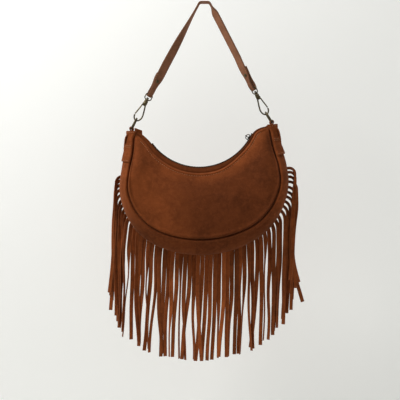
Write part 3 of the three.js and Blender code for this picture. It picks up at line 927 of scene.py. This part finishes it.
def make_ring_tab(side, word):
    u, w = RING_BAR
    wrap = RING_WIRE + SEAM_GAP + TAB_THICKNESS / 2
    bend = arc((u, w), wrap, 1.3 * math.pi, -0.2 * math.pi, 30)
    outer_leg = [
        Vector(p) for p in ((u + 1.3, w - 3.7), (u + 1.9, w - 7), (133.2, -29), (136.4, -46))
    ]
    line = Track(
        [Vector((u - 0.1, w - 10)), Vector((u - 0.6, w - 3.7))] + bend + smooth_line(outer_leg, 12)
    )

    def place(along, across):
        point = line.at(along)
        return hang(side * point.x, (across - 0.5) * TAB_WIDTH, point.y)

    bm = new_cloth()
    add_sheet(bm, (80, 12), place)
    thicken(bm, TAB_THICKNESS, centre=hang(side * u, 0, w), middle=True, rim=0.32)
    piece = finish_suede(bm, f"ring_tab_{word}")

    def lie(row, share):
        point = hang(side * line.at(row).x, mix(-6, 6, share), line.at(row).y)
        tangent = line.heading(row)
        out = (BAG.to_3x3() @ Vector((-side * tangent.y, 0, tangent.x))).normalized()
        if out.dot(point - hang(side * u, 0, w - 6)) < 0:
            out = -out
        return point + out * (TAB_THICKNESS / 2 + 0.1), out

    threads = new_cloth()
    for row in (0.62, 0.9):
        add_stitches(threads, lambda share, row=row: lie(row, share), 0.0, 1.0, 2.8)
    return piece, finish_stitches(threads, f"ring_tab_stitches_{word}")


# ---------------------------------------------------------------- fringe


def strip_habits(rng):
    """How one strip hangs: its droop, waves, twist, curl and colour."""
    return dict(
        droop=rng.uniform(17, 23),
        wave=rng.uniform(0.015, 0.06),
        wave_length=rng.uniform(85, 170),
        phase=rng.uniform(0, 2 * math.pi),
        splay=rng.gauss(0, 0.035),
        twist=DEGREE * rng.choice((-1, 1))
        * (rng.uniform(45, 82) if rng.random() < 0.42 else rng.uniform(2, 24)),
        twist_from=rng.uniform(14, 110),
        curl=rng.uniform(-0.9, 0.9),
        tone=rng.gauss(0.16, 0.3),
        drift=rng.gauss(0, 1.1),
        trim=rng.gauss(0, 1.4),
    )


def strip_line(root, start, plumb, length, habit, held, hold, splay, splay_from, steps, fine=6):
    """Stations down one strip: its place, the angle it runs at and the length run so far."""
    spots = []
    spot = Vector(root)
    for j in range(steps * fine + 1):
        run = length * (j / (steps * fine)) ** 1.5
        stiff = 1 - ease(run, hold, hold + 4 + habit["droop"])
        angle = start * mix(math.exp(-run / habit["droop"]), stiff, held) + plumb
        wave = math.sin(2 * math.pi * run / habit["wave_length"] + habit["phase"])
        angle += habit["wave"] * wave * ease(run, 20, 70)
        angle += splay * ease(run, splay_from, splay_from + 70)
        if j % fine == 0:
            spots.append((spot.copy(), angle, run))
        step = length * ((j + 1) / (steps * fine)) ** 1.5 - run
        spot += Vector((math.sin(angle), -math.cos(angle))) * step
    return spots


SPLAYED = {52: (0.34, 120), 55: (0.16, 150), 56: (0.27, 150)}


def make_fringe():
    chosen = settings()
    width, thickness = chosen.strip_width / MM, chosen.strip_thickness / MM
    inside = [i / 800 for i in range(801) if SEAM.at(i / 800).y < FRINGE_TOP]
    first, last = inside[0], inside[-1]
    count = int((last - first) * SEAM.length / STRIP_PITCH) + 1
    plumb = -TILT
    rng = random.Random(11)
    bm = new_cloth()
    tone = bm.verts.layers.float["tone"]

    def behind(w):
        return back_depth(w) + SEAM_GAP + 0.2 + thickness / 2

    def band(along, out):
        point, outward = seam_at(mix(first, last, along))
        reach = mix(-1, 4, out)
        return hang(point.x + outward.x * reach, behind(point.y), point.y + outward.y * reach)

    add_sheet(bm, (180, 3), band)
    steps = 46
    for i in range(count):
        habit = strip_habits(rng)
        point, outward = seam_at(mix(first, last, (i + 0.5) / count))
        start = math.atan2(outward.x, -outward.y) - plumb
        sideways = min(1.0, abs(start) / (math.pi / 2))
        held = ease(sideways, 0.3, 0.85)
        length = mix(*STRIP_LENGTHS, ease(sideways, 0, 1)) + habit["trim"]
        hold = STRIP_HOLD["left" if point.x < 0 else "right"]
        gathered = 0.024 * (1 - i % 3)
        splay, splay_from = SPLAYED.get(i, (habit["splay"] + gathered * (1 - held), 70))
        layer = STRIP_LAYER * (i % 3)
        bend = strip_line(point, start, plumb, length, habit, held, hold, splay, splay_from, steps)
        base, root = behind(point.y), hang(point.x, 0, point.y)

        def place(along, across, bend=bend, habit=habit, base=base, layer=layer, held=held):
            at, angle, run = bend[round(along * steps)]
            turn = habit["twist"] * ease(run, habit["twist_from"], habit["twist_from"] + 75)
            turn += STRIP_TURN * held * ease(run, 2, 9) * (1 - ease(run, 50, 110))
            side = (across - 0.5) * width * mix(1.16, 1.0, ease(run, 60, 200))
            cup = habit["curl"] * (4 * (across - 0.5) ** 2 - 0.5) * ease(run, 8, 60)
            level = side * math.cos(turn) - cup * math.sin(turn)
            y = base + layer * ease(run, 3, 14) + habit["drift"] * ease(run, 30, 200)
            y += side * math.sin(turn) + cup * math.cos(turn)
            return hang(at.x + math.cos(angle) * level, y, at.y + math.sin(angle) * level)

        for vert in add_sheet(bm, (steps, 4), place):
            # Painted shade on top of each strip's random tone: darker near the roots under the bag,
            # and darkest near the roots of the held side strips.
            reach = (vert.co - root).xz.length
            shaded = 0.3 * (1 - ease(reach, 0, 75)) + 0.8 * held * (1 - ease(reach, 10, 34))
            vert[tone] = habit["tone"] - shaded
    thicken(bm, thickness, middle=True, rim=0.28, segments=1)
    fringe = finish_piece(bm, "fringe", "Fringe suede", "bag", ("fringe",))


# ---------------------------------------------------------------- zip


def zip_point(angle, across, rise):
    radius = ZIP_RADIUS - rise
    return BAG @ Vector((
        ZIP_CENTRE[0] + radius * math.sin(angle), across, ZIP_CENTRE[1] - radius * math.cos(angle)
    ))


TEETH_FROM, TEETH_TO = ZIP_LEFT + DEGREE, ZIP_RIGHT - DEGREE


def zip_place(angle):
    """The frame of a piece on the zip: x along it, y across it, z up out of the bag."""
    spot = zip_arc(angle)
    return BAG @ Matrix.Translation((spot.x, 0, spot.y)) @ Matrix.Rotation(-angle, 4, "Y")


def make_teeth(side, name):
    bm = bmesh.new()
    pitch = settings().tooth_pitch / MM / ZIP_RADIUS
    count = int((TEETH_TO - TEETH_FROM) / pitch)
    for i in range(count):
        angle = TEETH_FROM + (i + (0.25 if side < 0 else 0.75)) * pitch
        across = side * (TEETH_HALF_GAP + TEETH_WIDTH / 2 - 0.35)
        size = (1.15, TEETH_WIDTH + 0.6, TEETH_HEIGHT)
        add_block(bm, size, (0, across, 0), 0.28, zip_place(angle), 1)
    cord = [
        zip_point(mix(TEETH_FROM, TEETH_TO, i / 90), side * (TEETH_HALF_GAP + TEETH_WIDTH), 0)
        for i in range(91)
    ]
    add_wire(bm, cord, 0.55, 8)
    finish_metal(bm, name, "bag", "Dark zip metal")


def make_tape(side, name):
    def place(along, down):
        across = mix(TEETH_HALF_GAP + TEETH_WIDTH + 2 * SEAM_GAP, 6.2, down)
        return zip_point(mix(TEETH_FROM, TEETH_TO, along), side * across, mix(0.5, -7, down))

    bm = new_cloth()
    add_sheet(bm, (110, 6), place)
    thicken(bm, 0.7, middle=True, rim=0.2, segments=1)
    finish_piece(bm, name, "Zip tape", "bag", (name,))


def make_stop(side, name):
    angle = (TEETH_FROM if side < 0 else TEETH_TO) + side * 0.85 * DEGREE
    bm = bmesh.new()
    half = TEETH_HALF_GAP + TEETH_WIDTH
    add_block(bm, (2.3, 2 * half, TEETH_HEIGHT + 0.6), (0, 0, 0), 0.45, zip_place(angle))
    finish_metal(bm, name, "bag", "Dark zip metal")


SLIDER_LEVEL = TEETH_HEIGHT / 2 + 0.35
BRIDGE_TOP = SLIDER_LEVEL + 5.3
PULL_TURN = 55 * DEGREE


def make_slider():
    place = zip_place(TEETH_TO - (SLIDER_LENGTH / 2 + 1) / ZIP_RADIUS)
    offset = SLIDER_LEVEL + 0.2 + 0.65
    bm = bmesh.new()
    add_block(bm, (SLIDER_LENGTH, 6.4, 1.3), (0, 0, offset), 0.5, place)
    add_block(bm, (SLIDER_LENGTH - 1.5, 4.6, 1.3), (0, 0, -offset), 0.5, place)
    add_block(bm, (5, 0.8, 2 * offset), (0, 0, 0), 0.2, place)
    bridge = smooth_line([
        Vector((x, 0, z)) for x, z in (
            (-4.6, SLIDER_LEVEL + 0.6), (-4.2, SLIDER_LEVEL + 3.4), (-1.8, BRIDGE_TOP),
            (1.8, BRIDGE_TOP), (4.2, SLIDER_LEVEL + 3.4), (4.6, SLIDER_LEVEL + 0.6),
        )
    ], 6)
    add_wire(bm, [place @ p for p in bridge], 0.75, 12)
    finish_metal(bm, "zip_slider", kind="Dark zip metal")
    on_bridge = place @ Matrix.Translation((0, 0, BRIDGE_TOP))
    pull_place = on_bridge @ Matrix.Rotation(PULL_TURN, 4, "X")
    bm = bmesh.new()
    eye = [
        pull_place @ Vector((0, 1.9 * math.cos(a), 1.9 * math.sin(a)))
        for a in (2 * math.pi * i / 28 for i in range(28))
    ]
    add_wire(bm, eye, 0.6, 10, closed=True)
    profile = [
        (0, -2), (0.65, -2.1), (0.65, -6.5), (1, -8.5), (1.35, -11.5), (1.7, -15), (1.75, -16.8),
        (1.7, -18.2), (1.1, -19.3), (0.5, -19.6), (0, -19.6),
    ]
    add_turned(bm, profile, 20, pull_place)
    finish_metal(bm, "zip_pull", kind="Dark zip metal")


# ---------------------------------------------------------------- rings, clips and strap


def make_ring(side, word):
    corner, straight, half = 2.2, RING_REACH - RING_HALF_WIDTH, RING_HALF_WIDTH
    outline = (
        arc((half - corner, corner), corner, -math.pi / 2, 0, 8)
        + arc((0, straight), half, 0, math.pi, 40)
        + arc((-half + corner, corner), corner, math.pi, 1.5 * math.pi, 8)
    )
    line = Track(outline + [outline[0]])
    place = BAG @ Matrix.Translation((side * RING_BAR[0], 0, RING_BAR[1]))
    place = place @ Matrix.Rotation(-side * RING_LEAN, 4, "Y")
    points = [line.at(i / 90) for i in range(90)]
    bm = bmesh.new()
    add_wire(bm, [place @ Vector((0, p.x, p.y)) for p in points], RING_WIRE, 14, closed=True)
    finish_metal(bm, f"d_ring_{word}")


def make_clip(side):
    place, turn = clip_place(side)
    bm = bmesh.new()
    eye_place = place @ Matrix.Rotation(turn, 4, "Z")
    half, low, corner = EYE_WIDTH / 2 - EYE_BAR, EYE_BAR * 2 - EYE_HEIGHT, 2.6
    outline = (
        arc((half - corner, -corner), corner, math.pi / 2, 0, 6)
        + arc((half - corner, low + corner), corner, 0, -math.pi / 2, 6)
        + arc((-half + corner, low + corner), corner, -math.pi / 2, -math.pi, 6)
        + arc((-half + corner, -corner), corner, math.pi, math.pi / 2, 6)
    )
    line = Track(outline + [outline[0]])
    points = [line.at(i / 72) for i in range(72)]
    add_wire(bm, [eye_place @ Vector((p.x, 0, p.y)) for p in points], EYE_BAR, 12, closed=True)
    collar = [
        (1.5, -9.2), (3.1, -9.2), (3.4, -9.5), (3.4, -12.1), (3.1, -12.4), (1.5, -12.4),
        (1.5, -9.2),
    ]
    add_turned(bm, collar, 28, eye_place)
    finish_metal(bm, f"swivel_eye_{side}", "strap")

    bm = bmesh.new()
    body = [
        (0, -6.3), (1.5, -6.35), (2.1, -6.7), (2.3, -7.1), (2.25, -7.8), (1.2, -7.9), (1.2, -12.75),
        (3.0, -12.8), (3.4, -13.0), (3.7, -13.6), (3.75, -14.6), (3.5, -15.0), (3.5, -15.5),
        (3.75, -15.9), (3.7, -20.6), (3.4, -21.5), (2.8, -22.2), (1.4, -22.5), (0, -22.5),
    ]
    add_turned(bm, body, 28, place)
    arm = smooth_line([
        Vector((x, 0, -down)) for x, down in (
            (-1.7, 18), (-3.1, 24), (-5.3, 32), (-6.9, 40), (-6.2, 46), (-3.5, 50.1),
            (0, HOOK_REACH), (3.5, 50.1), (6.1, 46.4), (6.9, 42.6),
        )
    ], 6)
    add_wire(bm, [place @ p for p in arm], HOOK_WIRE, 14)
    finish_metal(bm, f"hook_{side}")

    bm = bmesh.new()
    pivot = place @ Matrix.Translation((GATE_ACROSS, 0, -GATE_DOWN))
    pivot = pivot @ Matrix.Rotation(math.pi / 2, 4, "X")
    knuckle = [
        (0.95, -1.7), (1.6, -1.7), (1.8, -1.5), (1.8, 1.5), (1.6, 1.7), (0.95, 1.7), (0.95, -1.7)
    ]
    add_turned(bm, knuckle, 24, pivot)
    tongue = smooth_line([
        Vector((x, 0, -down)) for x, down in (
            (GATE_ACROSS + 0.9, GATE_DOWN + 1.8), (4.2, 27), (5.6, 34.4), (6.9, 41.6)
        )
    ], 7)
    add_wire(bm, [place @ p for p in tongue], 1.15, 12)
    finish_metal(bm, f"gate_{side}")

    bm = bmesh.new()
    pin = [(0, -2.8), (0.5, -2.75), (0.65, -2.6), (0.65, 2.6), (0.5, 2.75), (0, 2.8)]
    add_turned(bm, pin, 20, pivot)
    finish_metal(bm, f"gate_pin_{side}", f"hook_{side}")


def strap_stations():
    flat = Vector((0, STRAP_WIDTH, 0))
    top = [
        (Vector((mix(-0.5, 0.5, i / 6) * CROWN_FLAT, 0, STRAP_THICKNESS / 2)), flat)
        for i in range(7)
    ]
    return (
        leg_stations(LEGS["left"])[::-1] + bend_stations(LEGS["left"])[::-1]
        + top + bend_stations(LEGS["right"]) + leg_stations(LEGS["right"])
    )


def make_strap():
    stations = strap_stations()
    last = len(stations) - 1

    def place(along, across):
        centre, width = stations[round(along * last)]
        return centre + width * (across - 0.5)

    bm = new_cloth()
    add_sheet(bm, (last, 8), place)
    thicken(bm, STRAP_THICKNESS, middle=True, rim=0.3)
    finish_piece(bm, "strap", "Strap leather", "strap", ("strap",))
    threads = new_cloth()
    for leg in LEGS.values():
        for edge in (-1, 1):
            for face in (-1, 1):
                def lie(down, leg=leg, edge=edge, face=face):
                    folded = ease(down, leg["length"] - 56, leg["length"] - 42)
                    layer = (STRAP_THICKNESS + 2 * SEAM_GAP) * folded
                    reach = STRAP_THICKNESS / 2 + layer / 2 + 0.05
                    if face > 0:
                        reach = STRAP_THICKNESS + SEAM_GAP + 0.05
                    centre, width, facing, _ = leg_point(leg, down, face * reach)
                    narrow = ease(down, leg["length"] - 34, leg["length"] - 12)
                    wide = mix(STRAP_WIDTH, STRAP_END_WIDTH, narrow)
                    return centre + width * (edge * (wide / 2 - 1.9)), facing * face

                add_stitches(threads, lie, leg["length"] - 38.4, leg["length"] - 27, 3.0)
    finish_piece(threads, "strap_stitches", "Stitching thread", "strap", ())


def make_rivet(side):
    leg = LEGS[side]
    centre, _, facing, along = leg_point(leg, leg["length"] - RIVET_SETBACK, 0)
    place = Matrix((along, facing.cross(along), facing)).transposed().to_4x4()
    place.translation = centre
    face = STRAP_THICKNESS + 3 * SEAM_GAP
    cap = [
        (3.0, face), (2.95, face + 0.35), (2.6, face + 0.75), (1.7, face + 1.05),
        (0.8, face + 1.1), (0, face + 1.1),
    ]
    profile = [(r, -h) for r, h in reversed(cap)] + [(1.2, -face), (1.2, face)] + cap
    bm = bmesh.new()
    add_turned(bm, profile, 28, place)
    finish_metal(bm, f"strap_rivet_{side}", "strap")


# ---------------------------------------------------------------- studio


def plain_material(name, colour, one_sided, glow):
    material = bpy.data.materials.new(name)
    material.use_nodes = True
    tree = material.node_tree
    surface = tree.nodes["Principled BSDF"]
    surface.inputs["Base Color"].default_value = (*colour, 1)
    surface.inputs["Roughness"].default_value = 0.95
    surface.inputs["Specular IOR Level"].default_value = 0.1
    surface.inputs["Emission Color"].default_value = (*colour, 1)
    surface.inputs["Emission Strength"].default_value = glow
    if one_sided:
        behind = tree.nodes.new("ShaderNodeNewGeometry").outputs["Backfacing"]
        clear = tree.nodes.new("ShaderNodeBsdfTransparent")
        choose = tree.nodes.new("ShaderNodeMixShader")
        tree.links.new(behind, choose.inputs[0])
        tree.links.new(surface.outputs[0], choose.inputs[1])
        tree.links.new(clear.outputs[0], choose.inputs[2])
        tree.links.new(choose.outputs[0], tree.nodes["Material Output"].inputs["Surface"])
    return material


def make_stage_sheet(name, corner, one, other, material):
    bm = bmesh.new()
    for vert in bmesh.ops.create_grid(bm, x_segments=2, y_segments=2, size=0.5)["verts"]:
        vert.co = Vector(corner) + one * (vert.co.x + 0.5) + other * (vert.co.y + 0.5)
    mesh = bpy.data.meshes.new(name)
    bm.to_mesh(mesh)
    bm.free()
    mesh.materials.append(material)
    piece = bpy.data.objects.new(name, mesh)
    bpy.context.scene.collection.objects.link(piece)


def add_lamp(name, place, target, size, power):
    lamp = bpy.data.lights.new(name, "AREA")
    lamp.shape = "SQUARE"
    lamp.size = size
    lamp.energy = power
    holder = bpy.data.objects.new(name, lamp)
    holder.location = place
    holder.rotation_euler = (Vector(target) - Vector(place)).to_track_quat("-Z", "Y").to_euler()
    holder.visible_camera = False
    bpy.context.scene.collection.objects.link(holder)


# ---------------------------------------------------------------- the add-on


def colour_setting(name, description, value):
    return bpy.props.FloatVectorProperty(
        name=name, description=description, size=3, subtype="COLOR", min=0, max=1, default=value
    )


def length_setting(name, description, low, high, value):
    return bpy.props.FloatProperty(
        name=name, description=description, unit="LENGTH", min=low, max=high, default=value
    )


class FringedBagSettings(bpy.types.PropertyGroup):
    """Sizes and colours of the bag that a user may change."""

    suede_colour: colour_setting("Suede", "Colour of the body's suede", (0.212, 0.0525, 0.013))
    cut_edge_colour: colour_setting(
        "Cut edge", "Colour of the suede's cut edges", (0.23, 0.078, 0.032)
    )
    strap_colour: colour_setting("Strap", "Colour of the strap", (0.24, 0.1, 0.05))
    thread_colour: colour_setting("Thread", "Colour of the stitching", (0.42, 0.2, 0.1))
    brass_colour: colour_setting("Brass", "Colour of the rubbed brass", (0.2, 0.155, 0.085))
    strip_width: length_setting(
        "Strip width", "Width of one fringe strip", 0.003, 0.01, 0.0065
    )
    strip_thickness: length_setting(
        "Strip thickness", "Thickness of the fringe suede", 0.0008, 0.002, 0.0014
    )
    stitch_pitch: length_setting(
        "Stitch pitch", "Distance from one stitch to the next on the panels", 0.002, 0.008, 0.004
    )
    thread_thickness: length_setting(
        "Thread", "Thickness of the sewing thread", 0.0004, 0.0015, 0.0008
    )
    tooth_pitch: length_setting(
        "Tooth pitch", "Distance between the zip's teeth on one tape", 0.0015, 0.004, 0.0021
    )
    lamp_power: bpy.props.FloatProperty(
        name="Lamp power", description="Power of the main lamp in watts", unit="POWER",
        min=1, max=200, default=17,
    )


class SUEDEBAG_OT_materials(bpy.types.Operator):
    """Makes the suede, strap, thread, brass and zip materials"""

    bl_idname = "suedebag.materials"
    bl_label = "Materials"

    def execute(self, context):
        build_materials()
        return {"FINISHED"}


class SUEDEBAG_OT_panels(bpy.types.Operator):
    """Makes the front and back panels with their rolled seams and stitching"""

    bl_idname = "suedebag.panels"
    bl_label = "Panels"

    def execute(self, context):
        for side, name in ((-1, "front_panel"), (1, "back_panel")):
            panel = make_panel(side, name)
            stitches = make_panel_stitches(side, f"{name}_stitches")
        return {"FINISHED"}


class SUEDEBAG_OT_gusset(bpy.types.Operator):
    """Makes the gusset and the wraps sewn round its two ends"""

    bl_idname = "suedebag.gusset"
    bl_label = "Gusset"

    def execute(self, context):
        make_gusset()
        for side, word in SIDES:
            for kind, length in (("cap", 0.028), ("wrap", 0.034)):
                wrap, stitches = make_wrap(side, word, kind)
        return {"FINISHED"}


class SUEDEBAG_OT_facings(bpy.types.Operator):
    """Makes the suede facings beside the zip and the folded tab over its tail"""

    bl_idname = "suedebag.facings"
    bl_label = "Zip facings"

    def execute(self, context):
        for side, name in ((-1, "zip_facing_front"), (1, "zip_facing_back")):
            make_facing(side, name)
        make_end_tab()
        return {"FINISHED"}


class SUEDEBAG_OT_zip(bpy.types.Operator):
    """Makes the zip: tapes, teeth, end stops, slider and pull"""

    bl_idname = "suedebag.zip"
    bl_label = "Zip"

    def execute(self, context):
        for side, word in FACES:
            make_tape(side, f"zip_tape_{word}")
            make_teeth(side, f"zip_teeth_{word}")
        for side, word in SIDES:
            make_stop(side, f"zip_stop_{word}")
        make_slider()
        return {"FINISHED"}


class SUEDEBAG_OT_rings(bpy.types.Operator):
    """Makes the two D-rings and the suede tabs folded round their bars"""

    bl_idname = "suedebag.rings"
    bl_label = "D-rings and tabs"

    def execute(self, context):
        for side, word in SIDES:
            make_ring(side, word)
            tab, stitches = make_ring_tab(side, word)
        return {"FINISHED"}


class SUEDEBAG_OT_fringe(bpy.types.Operator):
    """Makes the long fringe, one cut strip at a time"""

    bl_idname = "suedebag.fringe"
    bl_label = "Fringe"

    def execute(self, context):
        make_fringe()
        return {"FINISHED"}


class SUEDEBAG_OT_strap(bpy.types.Operator):
    """Makes the strap, its stitched folds and its rivets"""

    bl_idname = "suedebag.strap"
    bl_label = "Strap"

    def execute(self, context):
        make_strap()
        for side in LEGS:
            make_rivet(side)
        return {"FINISHED"}


class SUEDEBAG_OT_clips(bpy.types.Operator):
    """Makes the swivel eyes, the hooks, their sprung gates and pins"""

    bl_idname = "suedebag.clips"
    bl_label = "Swivel clips"

    def execute(self, context):
        for side in LEGS:
            make_clip(side)
        return {"FINISHED"}


class SUEDEBAG_OT_stage(bpy.types.Operator):
    """Makes the pale floor and backdrop, the soft lamps and the camera"""

    bl_idname = "suedebag.stage"
    bl_label = "Studio"

    def execute(self, context):
        scene = context.scene
        floor = plain_material("Pale floor", (0.82, 0.82, 0.8), False, 0.14)
        wall = plain_material("Pale backdrop", (0.82, 0.825, 0.8), True, 0.26)
        right, back, up = Vector((8, 0, 0)), Vector((0, 8, 0)), Vector((0, 0, 6))
        make_stage_sheet("studio_floor", (-4, -4, FLOOR_LEVEL), right, back, floor)
        make_stage_sheet("studio_backdrop", (-4, BACKDROP_AT, FLOOR_LEVEL), right, up, wall)
        for name, place, target, size, share in LAMPS:
            add_lamp(name, place, target, size, settings().lamp_power * share)
        world = bpy.data.worlds.new("Studio")
        world.use_nodes = True
        world.node_tree.nodes["Background"].inputs[0].default_value = (1, 0.99, 0.97, 1)
        world.node_tree.nodes["Background"].inputs[1].default_value = WORLD_LIGHT
        scene.world = world
        scene.view_settings.view_transform = "Standard"
        camera = bpy.data.cameras.new("camera")
        camera.lens = CAMERA_LENS
        camera.sensor_width = 36
        holder = bpy.data.objects.new("camera", camera)
        holder.location = CAMERA_AT
        holder.rotation_euler = (math.pi / 2, 0, 0)
        scene.collection.objects.link(holder)
        scene.camera = holder
        return {"FINISHED"}


class SUEDEBAG_PT_sidebar(bpy.types.Panel):
    """Lists the bag's pieces and its settings in the sidebar"""

    bl_label = "Fringed suede bag"
    bl_space_type = "VIEW_3D"
    bl_region_type = "UI"
    bl_category = "Suede bag"

    def draw(self, context):
        for name in FringedBagSettings.__annotations__:
            self.layout.prop(context.scene.fringed_bag, name)
        for operator in OPERATORS:
            self.layout.operator(operator.bl_idname)


OPERATORS = (
    SUEDEBAG_OT_stage, SUEDEBAG_OT_materials, SUEDEBAG_OT_panels, SUEDEBAG_OT_gusset,
    SUEDEBAG_OT_facings, SUEDEBAG_OT_zip, SUEDEBAG_OT_rings, SUEDEBAG_OT_fringe,
    SUEDEBAG_OT_strap, SUEDEBAG_OT_clips,
)
CLASSES = (FringedBagSettings, *OPERATORS, SUEDEBAG_PT_sidebar)


def register():
    for cls in CLASSES:
        bpy.utils.register_class(cls)
    bpy.types.Scene.fringed_bag = bpy.props.PointerProperty(type=FringedBagSettings)


def unregister():
    del bpy.types.Scene.fringed_bag
    for cls in reversed(CLASSES):
        bpy.utils.unregister_class(cls)


def main():
    register()
    for operator in OPERATORS:
        group, name = operator.bl_idname.split(".")
        getattr(getattr(bpy.ops, group), name)()


if __name__ == "__main__":
    main()
